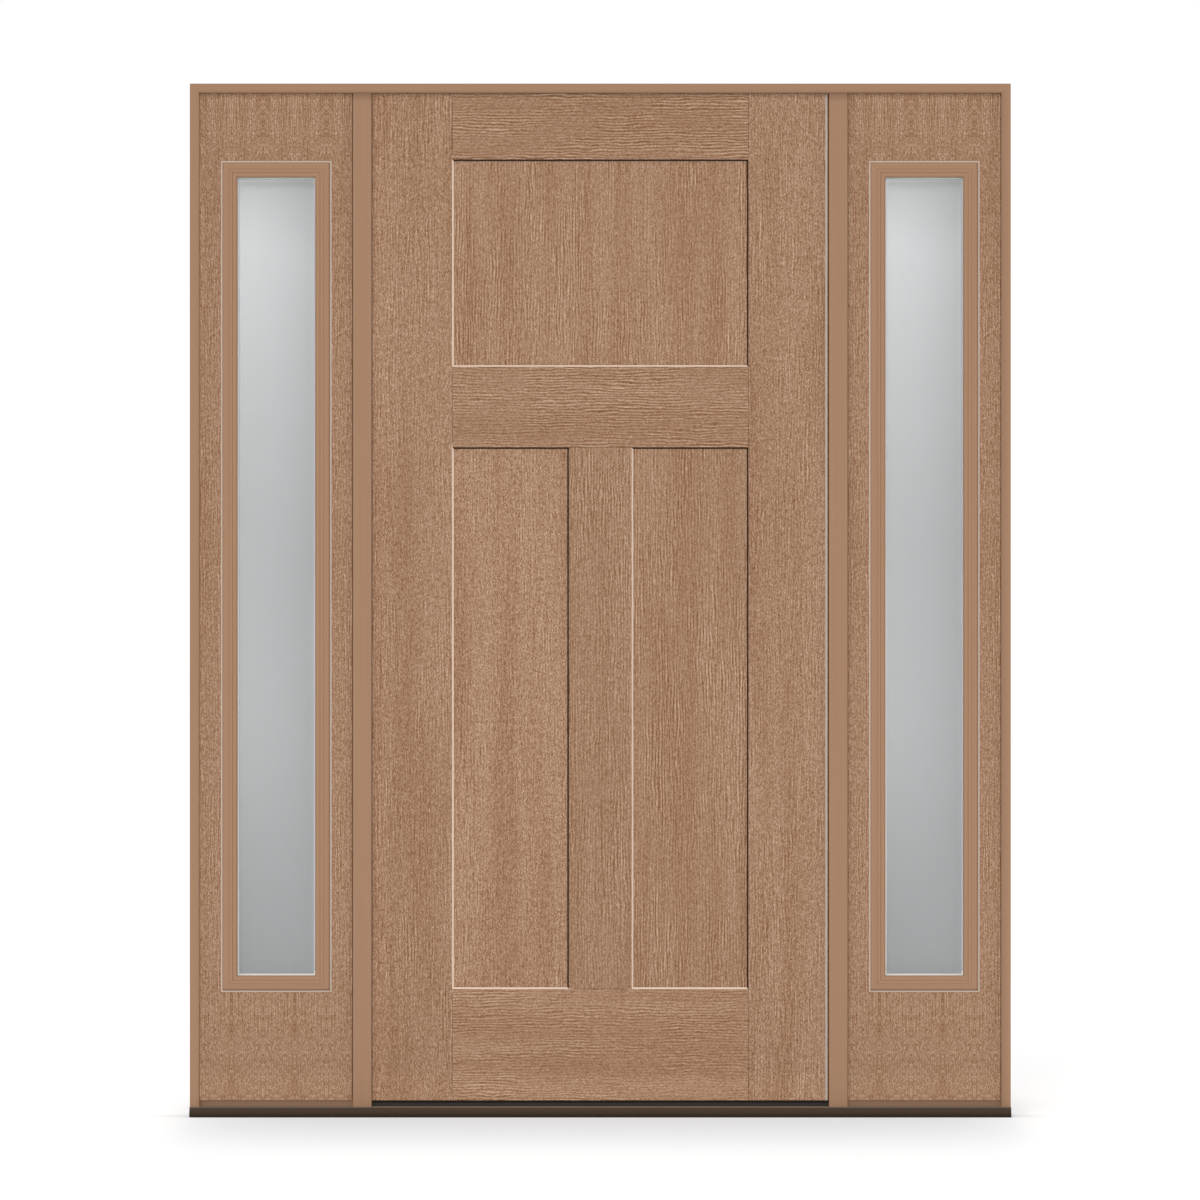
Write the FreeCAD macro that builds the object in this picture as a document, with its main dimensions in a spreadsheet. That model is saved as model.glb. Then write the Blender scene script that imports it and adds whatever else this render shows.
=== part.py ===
import FreeCAD, Part
import math
import os
from types import SimpleNamespace

import Sketcher

# An entrance door between two fixed sidelights, set in one frame on a sill.
# Sizes are in millimetres. +Z is up and the outside of the house is toward -Y.
# The origin is on the underside of the sill, midway across the frame's width and depth.

SIZES = {
    # Frame: the openings as seen from outside, and the faces round them.
    "door_opening_width": 916,
    "sidelight_opening_width": 307,
    "opening_height": 2030,
    "jamb_face": 19,
    "mullion_face": 38,
    "mullion_setback": 4,
    "arris_radius": 4,
    # Depths, from the outer face of the jambs inward.
    "stop_depth": 12,
    "seal_space": 8,
    "leaf_thickness": 44,
    "inside_setback": 4,
    # How far the frame covers the leaf and the slabs, and the gaps it leaves.
    "lap": 6,
    "leaf_gap": 5,
    "slab_fit": 1,
    # Sill and what stands on it.
    "sill_height": 20,
    "sill_projection": 30,
    "sill_nose_flat": 2,
    "tread_thickness": 3,
    "leaf_foot": 12,
    "bar_width": 6,
    "bar_setback": 5,
    "bar_radius": 2,
    "bottom_seal_end": 2,
    "strip_setback": 4,
    # Weather seals on the back of the stops.
    "seal_width": 5,
    "seal_thickness": 3,
    "seal_radius": 1.2,
    "seal_inset": 2,
    # Leaf: faces of the stiles and rails, up to the outer edge of their sloped edge.
    "stile_face": 167,
    "center_stile_face": 126,
    "top_rail_face": 138,
    "middle_rail_face": 161.5,
    "bottom_rail_face": 223,
    "top_panel_height": 415.5,
    "latch_bevel": 2.4,
    # Slim strip on the outer face of the leaf, beside the latch side's stop.
    "edge_strip_width": 4.4,
    "edge_strip_thickness": 1.2,
    "edge_strip_gap": 2.8,
    # Sloped edge round every panel, the groove behind it and the joints.
    "slope_width": 3.2,
    "slope_depth": 5,
    "slope_land": 1.5,
    "groove_depth": 12,
    "panel_play": 2,
    "tenon_play": 0.5,
    "joint_line": 0.6,
    # Sidelight slab round its lite frame, and the glass in it.
    "slab_side_margin": 51.5,
    "slab_top_margin": 144,
    "slab_bottom_margin": 220,
    "lite_face": 30,
    "lite_flange": 17,
    "lite_leg_gap": 1.5,
    "glass_lap": 9,
    "pane_thickness": 3,
    "pane_space": 16,
    "spacer_show": 3,
    "spacer_inset": 2,
    # Moulding of the lite frame: widths of its members and heights above the slab.
    "lite_crown_width": 13,
    "lite_bead_width": 4,
    "lite_lip_width": 3,
    "lite_edge_height": 2,
    "lite_crown_height": 7,
    "lite_bead_height": 6,
    "lite_step_height": 4,
    "lite_lip_height": 1.5,
    "lite_edge_radius": 3,
    "lite_quirk": 1.3,
    # Butt hinges.
    "hinge_height": 102,
    "hinge_plate_depth": 32,
    "hinge_plate_thickness": 3,
    "hinge_corner_radius": 8,
    "hinge_play": 0.2,
    "knuckle_radius": 6.5,
    "knuckle_gap": 0.3,
    "pin_radius": 3,
    "pin_play": 0.1,
    "knuckle_clearance": 0.5,
    "pin_head_radius": 5.5,
    "pin_head_height": 3,
    "pin_head_chamfer": 1.2,
    "pin_tip": 2,
    "top_hinge_drop": 178,
    "bottom_hinge_rise": 254,
    # How far a cut runs past the face that it opens.
    "cut_overrun": 1,
}

# Butt hinge knuckles counted from the bottom; the frame's leaf has the even ones.
KNUCKLES = 5


class Size:
    """A length with its value and the sheet formula that drives it."""

    def __init__(self, value, formula):
        self.value = value
        self.formula = formula

    def __add__(self, other):
        other = as_size(other)
        return Size(self.value + other.value, f"({self.formula} + {other.formula})")

    def __sub__(self, other):
        other = as_size(other)
        return Size(self.value - other.value, f"({self.formula} - {other.formula})")

    def __mul__(self, factor):
        return Size(self.value * factor, f"({self.formula} * {factor})")

    def __truediv__(self, divisor):
        return Size(self.value / divisor, f"({self.formula} / {divisor})")

    def __neg__(self):
        return self * -1


def as_size(length):
    if isinstance(length, Size):
        return length
    return Size(float(length), str(float(length)))


doc = FreeCAD.newDocument("door_with_sidelights")
sheet = doc.addObject("Spreadsheet::Sheet", "Sizes")
for row, (name, number) in enumerate(SIZES.items(), start=1):
    sheet.set(f"A{row}", name)
    sheet.set(f"B{row}", str(number))
    sheet.setAlias(f"B{row}", name)
doc.recompute()
s = SimpleNamespace(**{name: Size(number, f"Sizes.{name}") for name, number in SIZES.items()})

# Lines of the frame that several pieces share.
depth = s.stop_depth + s.seal_space + s.leaf_thickness + s.inside_setback
front = -depth / 2
seat = s.stop_depth + s.seal_space
leaf_front = front + seat
leaf_back = leaf_front + s.leaf_thickness
door_half = s.door_opening_width / 2
door_rebate = s.lap + s.leaf_gap
slab_rebate = s.lap + s.slab_fit
rebate_half = door_half + door_rebate
light_near = door_half + s.mullion_face
light_far = light_near + s.sidelight_opening_width
light_middle = light_near + s.sidelight_opening_width / 2
frame_half = light_far + s.jamb_face
head_bottom = s.sill_height + s.opening_height

# Lines of the leaf.
leaf_half = door_half + s.lap
leaf_bottom = s.sill_height + s.leaf_foot
leaf_height = s.opening_height + s.lap - s.leaf_foot
recess = s.slope_depth + s.slope_land
panel_thickness = s.leaf_thickness - recess * 2
panel_tongue = s.groove_depth - s.panel_play
tenon = s.groove_depth - s.tenon_play
panel_half = leaf_half - s.stile_face - s.slope_width
bottom_rail_height = s.bottom_rail_face + s.slope_width
middle_rail_height = s.middle_rail_face + s.slope_width * 2
top_rail_height = s.top_rail_face + s.slope_width
top_opening = s.top_panel_height - s.slope_width * 2
top_rail_bottom = leaf_height - top_rail_height
middle_rail_bottom = top_rail_bottom - top_opening - middle_rail_height
lower_opening = middle_rail_bottom - bottom_rail_height
center_half = s.center_stile_face / 2 + s.slope_width

# Lines of the sidelights.
slab_width = s.sidelight_opening_width + s.lap * 2
slab_height = leaf_height
lite_width = slab_width - s.slab_side_margin * 2
lite_height = slab_height - s.slab_top_margin - s.slab_bottom_margin
lite_center = leaf_bottom + s.slab_bottom_margin + lite_height / 2
glass_width = lite_width - s.lite_face * 2
glass_height = lite_height - s.lite_face * 2
unit_thickness = s.pane_thickness * 2 + s.pane_space
glass_depth = (s.leaf_thickness - unit_thickness) / 2

# Lines of the hinges.
hinge_x = -(rebate_half - s.leaf_gap / 2)
frame_plate_edge = s.knuckle_radius + s.knuckle_clearance
door_plate_edge = frame_plate_edge + s.inside_setback
hinge_y = -front + frame_plate_edge
pitch = s.hinge_height / KNUCKLES
top_hinge = leaf_bottom + leaf_height - s.top_hinge_drop - s.hinge_height
bottom_hinge = leaf_bottom + s.bottom_hinge_rise
hinge_bottoms = {
    "upper": top_hinge,
    "middle": (top_hinge + bottom_hinge) / 2,
    "lower": bottom_hinge,
}

nodes = []


def bind(feature, prop, length):
    feature.setExpression(prop, as_size(length).formula)


def place(piece, x, y, z):
    for axis, length in zip("xyz", (x, y, z)):
        bind(piece, f"Placement.Base.{axis}", length)
    nodes.append(piece)


def new_body(label, x, y, z):
    body = doc.addObject("PartDesign::Body", label)
    body.Label = label
    place(body, x, y, z)
    return body


def sign(number):
    return (number > 0) - (number < 0)


def stations(corners):
    """The ends of an outline's segments, with the coordinates that fix each.

    A corner with a radius becomes two ends with an arc between them. Its sides run
    along X or Y, so along its own side each end is level with the arc's center.
    """
    found = []
    for index, corner in enumerate(corners):
        x, y = as_size(corner[0]), as_size(corner[1])
        if len(corner) == 2:
            found.append(SimpleNamespace(x=x, y=y, fixed="XY", arc=None))
            continue
        radius = corner[2]
        ends = []
        center_x, center_y = x, y
        for neighbour in (corners[index - 1], corners[(index + 1) % len(corners)]):
            step_x = sign(as_size(neighbour[0]).value - x.value)
            step_y = sign(as_size(neighbour[1]).value - y.value)
            fixed = "X" if step_x else "Y"
            end = SimpleNamespace(x=x + radius * step_x, y=y + radius * step_y, fixed=fixed, arc=None)
            ends.append(end)
            center_x = center_x + radius * step_x
            center_y = center_y + radius * step_y
        ends[1].arc = SimpleNamespace(x=center_x, y=center_y, radius=radius)
        found += ends
    return found


def add_arc(sketch, start, end, arc):
    """Add an arc and return the numbers of its start and end in drawing order."""
    angles = [math.atan2(point.y.value - arc.y.value, point.x.value - arc.x.value) for point in (start, end)]
    turn = math.sin(angles[1] - angles[0])
    center = FreeCAD.Vector(arc.x.value, arc.y.value, 0)
    circle = Part.Circle(center, FreeCAD.Vector(0, 0, 1), arc.radius.value)
    if turn > 0:
        sketch.addGeometry(Part.ArcOfCircle(circle, angles[0], angles[1]))
        return 1, 2
    sketch.addGeometry(Part.ArcOfCircle(circle, angles[1], angles[0]))
    return 2, 1


def constrain(sketch, kind, references, length):
    length = as_size(length)
    index = sketch.addConstraint(Sketcher.Constraint(kind, *references, length.value))
    sketch.setExpression(f"Constraints[{index}]", length.formula)


def draw_loop(sketch, corners):
    """Draw a closed outline and tie every corner of it to the size sheet."""
    points = stations(corners)
    segments = []
    for index, point in enumerate(points):
        before = points[index - 1]
        geometry = sketch.GeometryCount
        if point.arc is None:
            start = FreeCAD.Vector(before.x.value, before.y.value, 0)
            end = FreeCAD.Vector(point.x.value, point.y.value, 0)
            sketch.addGeometry(Part.LineSegment(start, end))
            segments.append((geometry, 1, 2))
        else:
            segments.append((geometry, *add_arc(sketch, before, point, point.arc)))
    for index, (geometry, _, end) in enumerate(segments):
        follower = segments[(index + 1) % len(segments)]
        sketch.addConstraint(Sketcher.Constraint("Coincident", geometry, end, *follower[:2]))
        point = points[index]
        if "X" in point.fixed:
            constrain(sketch, "DistanceX", (geometry, end), point.x)
        if "Y" in point.fixed:
            constrain(sketch, "DistanceY", (geometry, end), point.y)
        if point.arc is not None:
            constrain(sketch, "DistanceX", (geometry, 3), point.arc.x)
            constrain(sketch, "DistanceY", (geometry, 3), point.arc.y)
            constrain(sketch, "Radius", (geometry,), point.arc.radius)


def draw_circle(sketch, radius):
    geometry = sketch.GeometryCount
    sketch.addGeometry(Part.Circle(FreeCAD.Vector(0, 0, 0), FreeCAD.Vector(0, 0, 1), radius.value))
    sketch.addConstraint(Sketcher.Constraint("Coincident", geometry, 3, -1, 1))
    constrain(sketch, "Radius", (geometry,), radius)


def new_sketch(body, name, plane, offset=0):
    sketch = body.newObject("Sketcher::SketchObject", name)
    origin_plane = next(item for item in body.Origin.OriginFeatures if item.Role == plane)
    sketch.AttachmentSupport = [(origin_plane, "")]
    sketch.MapMode = "FlatFace"
    bind(sketch, "AttachmentOffset.Base.z", offset)
    return sketch


def outline(body, name, plane, loops, offset=0):
    sketch = new_sketch(body, name, plane, offset)
    for loop in loops:
        draw_loop(sketch, loop)
    return sketch


def pad(body, name, sketch, length, symmetric=False, backward=False):
    feature = body.newObject("PartDesign::Pad", name)
    feature.Profile = sketch
    feature.SideType = "Symmetric" if symmetric else "One side"
    feature.Reversed = backward
    bind(feature, "Length", length)
    return feature


def pocket(body, name, sketch, length=None, backward=False):
    """Cut a sketch to a depth, or right through both ways when no depth is given."""
    feature = body.newObject("PartDesign::Pocket", name)
    feature.Profile = sketch
    feature.Reversed = backward
    if length is None:
        feature.SideType = "Symmetric"
        feature.Type = "ThroughAll"
    else:
        bind(feature, "Length", length)
    return feature


def rectangle(x0, y0, x1, y1):
    return [(x0, y0), (x1, y0), (x1, y1), (x0, y1)]


def bar(label, plane, loops, length, x, y, z, symmetric=False):
    """A piece of one constant section."""
    body = new_body(label, x, y, z)
    pad(body, label + "_bar", outline(body, label + "_section", plane, loops), length, symmetric)
    return body


def hinge_gains(body, base, wall, edge, backward):
    """Cut the seats of the hinge plates into a wall of a piece that starts at height `base`."""
    loops = []
    far = edge - s.hinge_plate_depth - s.hinge_play
    near = edge + s.cut_overrun
    radius = s.hinge_corner_radius + s.hinge_play
    for bottom in hinge_bottoms.values():
        low = bottom - base - s.hinge_play
        high = bottom - base + s.hinge_height + s.hinge_play
        loops.append([(far, low, radius), (near, low), (near, high), (far, high, radius)])
    sketch = outline(body, body.Label + "_gain_outlines", "YZ_Plane", loops, wall)
    pocket(body, body.Label + "_gains", sketch, s.hinge_plate_thickness, backward)


# Frame: jambs and head, mitred at the corners, and mullions, rebated for the leaf and the slabs.
jamb_height = s.opening_height + s.jamb_face
for label, side in (("left_jamb", -1), ("right_jamb", 1)):
    inner = s.jamb_face * -side
    rebate = (s.jamb_face - slab_rebate) * -side
    section = [(0, 0), (inner, 0, s.arris_radius), (inner, seat), (rebate, seat), (rebate, depth), (0, depth)]
    jamb = bar(label, "XY_Plane", [section], jamb_height, frame_half * side, front, s.sill_height)
    past_inner = inner - s.cut_overrun * side
    past_top = jamb_height + s.cut_overrun
    mitre = [
        (past_inner, s.opening_height - s.cut_overrun),
        (past_inner, past_top),
        (s.cut_overrun * side, past_top),
    ]
    pocket(jamb, label + "_mitre", outline(jamb, label + "_mitre_outline", "XZ_Plane", [mitre]))

for label, side in (("hinge_mullion", -1), ("latch_mullion", 1)):
    outer = s.mullion_face * side
    slab_wall = (s.mullion_face - slab_rebate) * side
    leaf_wall = door_rebate * side
    section = [
        (0, s.mullion_setback, s.arris_radius),
        (outer, s.mullion_setback, s.arris_radius),
        (outer, seat),
        (slab_wall, seat),
        (slab_wall, depth),
        (leaf_wall, depth),
        (leaf_wall, s.stop_depth),
        (0, s.stop_depth),
    ]
    mullion = bar(label, "XY_Plane", [section], s.opening_height, door_half * side, front, s.sill_height)
    if side < 0:
        hinge_gains(mullion, s.sill_height, leaf_wall, depth, False)

head_section = [(0, 0, s.arris_radius), (depth, 0), (depth, s.jamb_face), (0, s.jamb_face)]
head = bar("head_jamb", "YZ_Plane", [head_section], frame_half * 2, 0, front, head_bottom, True)
mitres = []
for side in (-1, 1):
    past_end = (frame_half + s.cut_overrun) * side
    mitres.append([
        ((light_far - s.cut_overrun) * side, -s.cut_overrun),
        (past_end, -s.cut_overrun),
        (past_end, s.jamb_face + s.cut_overrun),
    ])
pocket(head, "head_mitres", outline(head, "head_mitre_outlines", "XZ_Plane", mitres))
past_back = depth + s.cut_overrun
door_bay = rectangle(-rebate_half, s.stop_depth, rebate_half, past_back)
door_sketch = outline(head, "door_rebate_outline", "XY_Plane", [door_bay])
pocket(head, "door_rebate", door_sketch, door_rebate, True)
light_bays = []
for side in (-1, 1):
    near = (light_near - slab_rebate) * side
    far = (light_far + slab_rebate) * side
    light_bays.append(rectangle(near, seat, far, past_back))
light_sketch = outline(head, "light_rebate_outlines", "XY_Plane", light_bays)
pocket(head, "light_rebates", light_sketch, slab_rebate, True)

# Sill: a solid base under a bronze tread with a rounded nose.
base_height = s.sill_height - s.tread_thickness
base_section = rectangle(0, 0, depth, base_height)
bar("sill_base", "YZ_Plane", [base_section], frame_half * 2, 0, front, 0, True)
nose = -s.sill_projection
inner_nose = nose + s.tread_thickness
nose_radius = s.sill_height - s.sill_nose_flat
inner_radius = nose_radius - s.tread_thickness
tread_section = [
    (nose, 0),
    (nose, s.sill_height, nose_radius),
    (depth, s.sill_height),
    (depth, base_height),
    (inner_nose, base_height, inner_radius),
    (inner_nose, 0),
]
bar("sill_tread", "YZ_Plane", [tread_section], frame_half * 2, 0, front, 0, True)

bar_height = s.leaf_foot - s.leaf_gap
bar_section = [
    (0, 0),
    (s.bar_width, 0),
    (s.bar_width, bar_height, s.bar_radius),
    (0, bar_height, s.bar_radius),
]
bar_front = leaf_front + s.bar_setback
bar("threshold_bar", "YZ_Plane", [bar_section], rebate_half * 2, 0, bar_front, s.sill_height, True)

# Weather seals: beads on the back of the stops at both sides and over the leaf.
stop_back = front + s.stop_depth
for label, side in (("hinge_weatherstrip", -1), ("latch_weatherstrip", 1)):
    near = s.seal_inset * side
    far = (s.seal_inset + s.seal_width) * side
    section = [
        (near, 0),
        (far, 0),
        (far, s.seal_thickness, s.seal_radius),
        (near, s.seal_thickness, s.seal_radius),
    ]
    length = s.opening_height + s.seal_inset
    bar(label, "XY_Plane", [section], length, door_half * side, stop_back, s.sill_height)
head_seal_top = s.seal_inset + s.seal_width
head_seal_section = [
    (0, s.seal_inset),
    (s.seal_thickness, s.seal_inset, s.seal_radius),
    (s.seal_thickness, head_seal_top, s.seal_radius),
    (0, head_seal_top),
]
bar("head_weatherstrip", "YZ_Plane", [head_seal_section], rebate_half * 2, 0, stop_back, head_bottom, True)


def knuckle_ends(number):
    """Heights of a knuckle's two ends. Only ends that face another knuckle leave a gap."""
    low = pitch * number
    high = pitch * (number + 1)
    if number > 0:
        low = low + s.knuckle_gap / 2
    if number < KNUCKLES - 1:
        high = high - s.knuckle_gap / 2
    return low, high


def plate_corners(edge, numbers):
    """A hinge plate's outline, whose edge reaches in to the pin only at its own knuckles."""
    far = edge - s.hinge_plate_depth
    reach = -s.pin_radius
    corners = [(far, 0, s.hinge_corner_radius)]
    if numbers[0] > 0:
        corners.append((edge, 0))
    for number in numbers:
        low, high = knuckle_ends(number)
        if number > 0:
            corners.append((edge, low))
        corners += [(reach, low), (reach, high)]
        if number < KNUCKLES - 1:
            corners.append((edge, high))
    if numbers[-1] < KNUCKLES - 1:
        corners.append((edge, s.hinge_height))
    return corners + [(far, s.hinge_height, s.hinge_corner_radius)]


def hinge_leaf(label, z, side, edge, numbers):
    """One plate of a butt hinge with its knuckles, in the frame of its own pin."""
    body = new_body(label, hinge_x, hinge_y, z)
    corners = plate_corners(-edge, numbers)
    plate = outline(body, label + "_plate_outline", "YZ_Plane", [corners], s.leaf_gap / 2 * side)
    pad(body, label + "_plate", plate, s.hinge_plate_thickness, backward=side < 0)
    for number in numbers:
        low, high = knuckle_ends(number)
        round_outline = new_sketch(body, f"{label}_round_{number}", "XY_Plane", low)
        draw_circle(round_outline, s.knuckle_radius)
        pad(body, f"{label}_knuckle_{number}", round_outline, high - low)
    bore = new_sketch(body, label + "_bore_outline", "XY_Plane")
    draw_circle(bore, s.pin_radius)
    pocket(body, label + "_bore", bore)


def hinge_pin(label, z):
    body = new_body(label, hinge_x, hinge_y, z)
    shaft = s.pin_radius - s.pin_play
    head_top = s.hinge_height + s.pin_head_height
    profile = [
        (0, -s.pin_tip),
        (shaft, -s.pin_tip),
        (shaft, s.hinge_height),
        (s.pin_head_radius, s.hinge_height),
        (s.pin_head_radius, head_top - s.pin_head_chamfer),
        (s.pin_head_radius - s.pin_head_chamfer, head_top),
        (0, head_top),
    ]
    sketch = outline(body, label + "_profile", "XZ_Plane", [profile])
    turned = body.newObject("PartDesign::Revolution", label + "_turned")
    turned.Profile = sketch
    turned.ReferenceAxis = (sketch, ["V_Axis"])
    turned.Angle = 360


# Hinges: three pairs of plates, each on its own pin.
even_knuckles = list(range(0, KNUCKLES, 2))
odd_knuckles = list(range(1, KNUCKLES, 2))
for name, bottom in hinge_bottoms.items():
    hinge_leaf(f"{name}_hinge_frame_leaf", bottom, -1, frame_plate_edge, even_knuckles)
    hinge_leaf(f"{name}_hinge_door_leaf", bottom, 1, door_plate_edge, odd_knuckles)
    hinge_pin(f"{name}_hinge_pin", bottom)


def box(label, x, y, z, length, width, height):
    piece = doc.addObject("Part::Box", label)
    piece.Label = label
    bind(piece, "Length", length)
    bind(piece, "Width", width)
    bind(piece, "Height", height)
    place(piece, x, y, z)
    return piece


def ring(label, outer, inner, thickness, x, y, z):
    """A flat rectangular frame, centred on its own middle, that reaches back from y."""
    body = new_body(label, x, y, z)
    loops = []
    for width, height in (outer, inner):
        loops.append(rectangle(-width / 2, -height / 2, width / 2, height / 2))
    sketch = outline(body, label + "_outline", "XZ_Plane", loops)
    pad(body, label + "_ring", sketch, thickness, backward=True)


def lite_frame(label, x, y, outward):
    """The moulded frame that clamps the glass: one section swept round with mitred corners."""
    body = new_body(label, x, y, lite_center)
    half_width = lite_width / 2
    half_height = lite_height / 2
    path = new_sketch(body, label + "_path", "XZ_Plane")
    draw_loop(path, [
        (-half_width, 0),
        (-half_width, half_height),
        (half_width, half_height),
        (half_width, -half_height),
        (-half_width, -half_height),
    ])
    edge_top = s.lite_edge_height + s.lite_edge_radius
    bead = s.lite_crown_width + s.lite_quirk * 2
    bead_end = bead + s.lite_bead_width
    leg = s.lite_flange + s.lite_leg_gap
    members = [
        (0, 0),
        (0, edge_top, s.lite_edge_radius),
        (s.lite_edge_radius * 2, edge_top),
        (s.lite_crown_width, s.lite_crown_height),
        (s.lite_crown_width + s.lite_quirk, s.lite_crown_height - s.lite_quirk),
        (bead, s.lite_bead_height),
        (bead_end, s.lite_bead_height),
        (bead_end + s.lite_quirk, s.lite_step_height),
        (s.lite_face - s.lite_lip_width, s.lite_step_height),
        (s.lite_face, s.lite_lip_height),
        (s.lite_face, -glass_depth),
        (leg, -glass_depth),
        (leg, 0),
    ]
    profile = []
    for corner in members:
        across = as_size(corner[0]) - half_width
        profile.append((across, as_size(corner[1]) * outward, *corner[2:]))
    section = outline(body, label + "_section", "XY_Plane", [profile])
    moulding = body.newObject("PartDesign::AdditivePipe", label + "_moulding")
    moulding.Profile = section
    moulding.Spine = (path, [f"Edge{number}" for number in (2, 3, 4, 5, 1)])
    moulding.Transition = "Right corner"
    moulding.Mode = "Standard"


# Sidelights: slab on its strip, lite frames clamping a sealed pair of panes.
for hand, side in (("left", -1), ("right", 1)):
    middle = light_middle * side
    slab_left = middle - slab_width / 2
    strip_depth = s.leaf_thickness - s.strip_setback
    strip_front = leaf_front + s.strip_setback
    strip = f"{hand}_sidelight_sill_strip"
    box(strip, slab_left, strip_front, s.sill_height, slab_width, strip_depth, s.leaf_foot)
    body = new_body(f"{hand}_sidelight_slab", middle, leaf_front, leaf_bottom)
    hole_half = lite_width / 2 - s.lite_flange
    hole_low = s.slab_bottom_margin + s.lite_flange
    hole_high = slab_height - s.slab_top_margin - s.lite_flange
    slab_loops = [
        rectangle(-slab_width / 2, 0, slab_width / 2, slab_height),
        rectangle(-hole_half, hole_low, hole_half, hole_high),
    ]
    slab_sketch = outline(body, f"{hand}_slab_outline", "XZ_Plane", slab_loops)
    pad(body, f"{hand}_slab", slab_sketch, s.leaf_thickness, backward=True)
    lite_frame(f"{hand}_lite_frame_outside", middle, leaf_front, -1)
    lite_frame(f"{hand}_lite_frame_inside", middle, leaf_back, 1)
    pane_width = glass_width + s.glass_lap * 2
    pane_height = glass_height + s.glass_lap * 2
    pane_left = middle - pane_width / 2
    pane_bottom = lite_center - pane_height / 2
    outer_pane = leaf_front + glass_depth
    inner_pane = leaf_back - glass_depth - s.pane_thickness
    for layer, y in (("outer", outer_pane), ("inner", inner_pane)):
        box(f"{hand}_{layer}_glass", pane_left, y, pane_bottom, pane_width, s.pane_thickness, pane_height)
    spacer_outer = (pane_width - s.spacer_inset * 2, pane_height - s.spacer_inset * 2)
    spacer_inner = (glass_width - s.spacer_show * 2, glass_height - s.spacer_show * 2)
    spacer_front = outer_pane + s.pane_thickness
    ring(f"{hand}_glass_spacer", spacer_outer, spacer_inner, s.pane_space, middle, spacer_front, lite_center)


def stuck_edge(at, step):
    """Corners of a grooved edge with a slope on both faces, from the outer to the inner face.

    The flat of the piece ends at `at` and the slopes go on by `step` times their width.
    """
    tip = at + s.slope_width * step
    bed = tip - s.groove_depth * step
    thick = s.leaf_thickness
    return [
        (0, at),
        (s.slope_depth, tip),
        (recess, tip),
        (recess, bed),
        (thick - recess, bed),
        (thick - recess, tip),
        (thick - s.slope_depth, tip),
        (thick, at),
    ]


def swapped(corners):
    return [(b, a) for a, b in corners]


def cope_cuts(at, step):
    """Outlines cut from the end of a rail so that its face laps a stuck edge and a tenon is left.

    The stuck edge stands at `at`, and the rail's end points along `step`.
    """
    shoulder = as_size(at) - s.joint_line * step
    over = shoulder + s.slope_width * step
    beyond = as_size(at) + (tenon + s.cut_overrun) * step
    outside = [
        (-s.cut_overrun, over),
        (as_size(0), over),
        (s.slope_depth, shoulder),
        (recess, shoulder),
        (recess, beyond),
        (-s.cut_overrun, beyond),
    ]
    inside = [(s.leaf_thickness - y, along) for y, along in outside]
    return [outside, inside]


# Leaf: stiles, rails and a centre stile with stuck edges, coped together over flat panels.
latch_edge = [(s.leaf_thickness, 0), (0, s.latch_bevel)]
hinge_edge = [(s.leaf_thickness, 0), (0, 0)]
for label, side, outer_edge in (("hinge_stile", -1, hinge_edge), ("latch_stile", 1, latch_edge)):
    corners = swapped(outer_edge + stuck_edge(s.stile_face, 1))
    section = [(as_size(x) * -side, y) for x, y in corners]
    stile = bar(label, "XY_Plane", [section], leaf_height, leaf_half * side, leaf_front, leaf_bottom)
    if side < 0:
        hinge_gains(stile, leaf_bottom, 0, s.leaf_thickness, True)

rail_length = (panel_half + tenon) * 2
rail_ends = cope_cuts(panel_half, 1) + cope_cuts(-panel_half, -1)


def rail(label, section, bottom):
    body = bar(label, "YZ_Plane", [section], rail_length, 0, leaf_front, leaf_bottom + bottom, True)
    sketch = outline(body, label + "_cope_outlines", "XY_Plane", [swapped(cut) for cut in rail_ends])
    pocket(body, label + "_copes", sketch)


square_bottom = [(s.leaf_thickness, 0), (0, 0)]
square_top = [(s.leaf_thickness, top_rail_height), (0, top_rail_height)]
stuck_bottom = stuck_edge(s.slope_width, -1)
rail("bottom_rail", square_bottom + stuck_edge(s.bottom_rail_face, 1), as_size(0))
middle_top = stuck_edge(s.middle_rail_face + s.slope_width, 1)
rail("middle_rail", stuck_bottom[::-1] + middle_top, middle_rail_bottom)
rail("top_rail", square_top + stuck_bottom, top_rail_bottom)

center_face = s.center_stile_face / 2
center_section = swapped(stuck_edge(center_face, 1)[::-1] + stuck_edge(-center_face, -1))
center_bottom = leaf_bottom + bottom_rail_height - tenon
center_length = lower_opening + tenon * 2
center = bar("center_stile", "XY_Plane", [center_section], center_length, 0, leaf_front, center_bottom)
center_ends = cope_cuts(tenon, -1) + cope_cuts(lower_opening + tenon, 1)
pocket(center, "center_copes", outline(center, "center_cope_outlines", "YZ_Plane", center_ends))

panel_front = leaf_front + recess
top_panel_bottom = leaf_bottom + middle_rail_bottom + middle_rail_height - panel_tongue
lower_panel_bottom = leaf_bottom + bottom_rail_height - panel_tongue
lower_width = panel_half - center_half + panel_tongue * 2
lower_height = lower_opening + panel_tongue * 2
top_width = (panel_half + panel_tongue) * 2
top_height = top_opening + panel_tongue * 2
for label, left, bottom, width, height in (
    ("top_panel", -panel_half, top_panel_bottom, top_width, top_height),
    ("left_panel", -panel_half, lower_panel_bottom, lower_width, lower_height),
    ("right_panel", center_half, lower_panel_bottom, lower_width, lower_height),
):
    box(label, left - panel_tongue, panel_front, bottom, width, panel_thickness, height)

seal_front = bar_front + s.bar_width + s.leaf_gap
seal_depth = leaf_back - seal_front
seal_drop = s.leaf_foot - s.leaf_gap
seal_section = [
    (0, 0, s.bar_radius),
    (seal_depth, 0, s.bar_radius),
    (seal_depth, seal_drop),
    (0, seal_drop),
]
seal_length = (leaf_half - s.bottom_seal_end) * 2
seal_bottom = leaf_bottom - seal_drop
bar("door_bottom_seal", "YZ_Plane", [seal_section], seal_length, 0, seal_front, seal_bottom, True)

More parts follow.
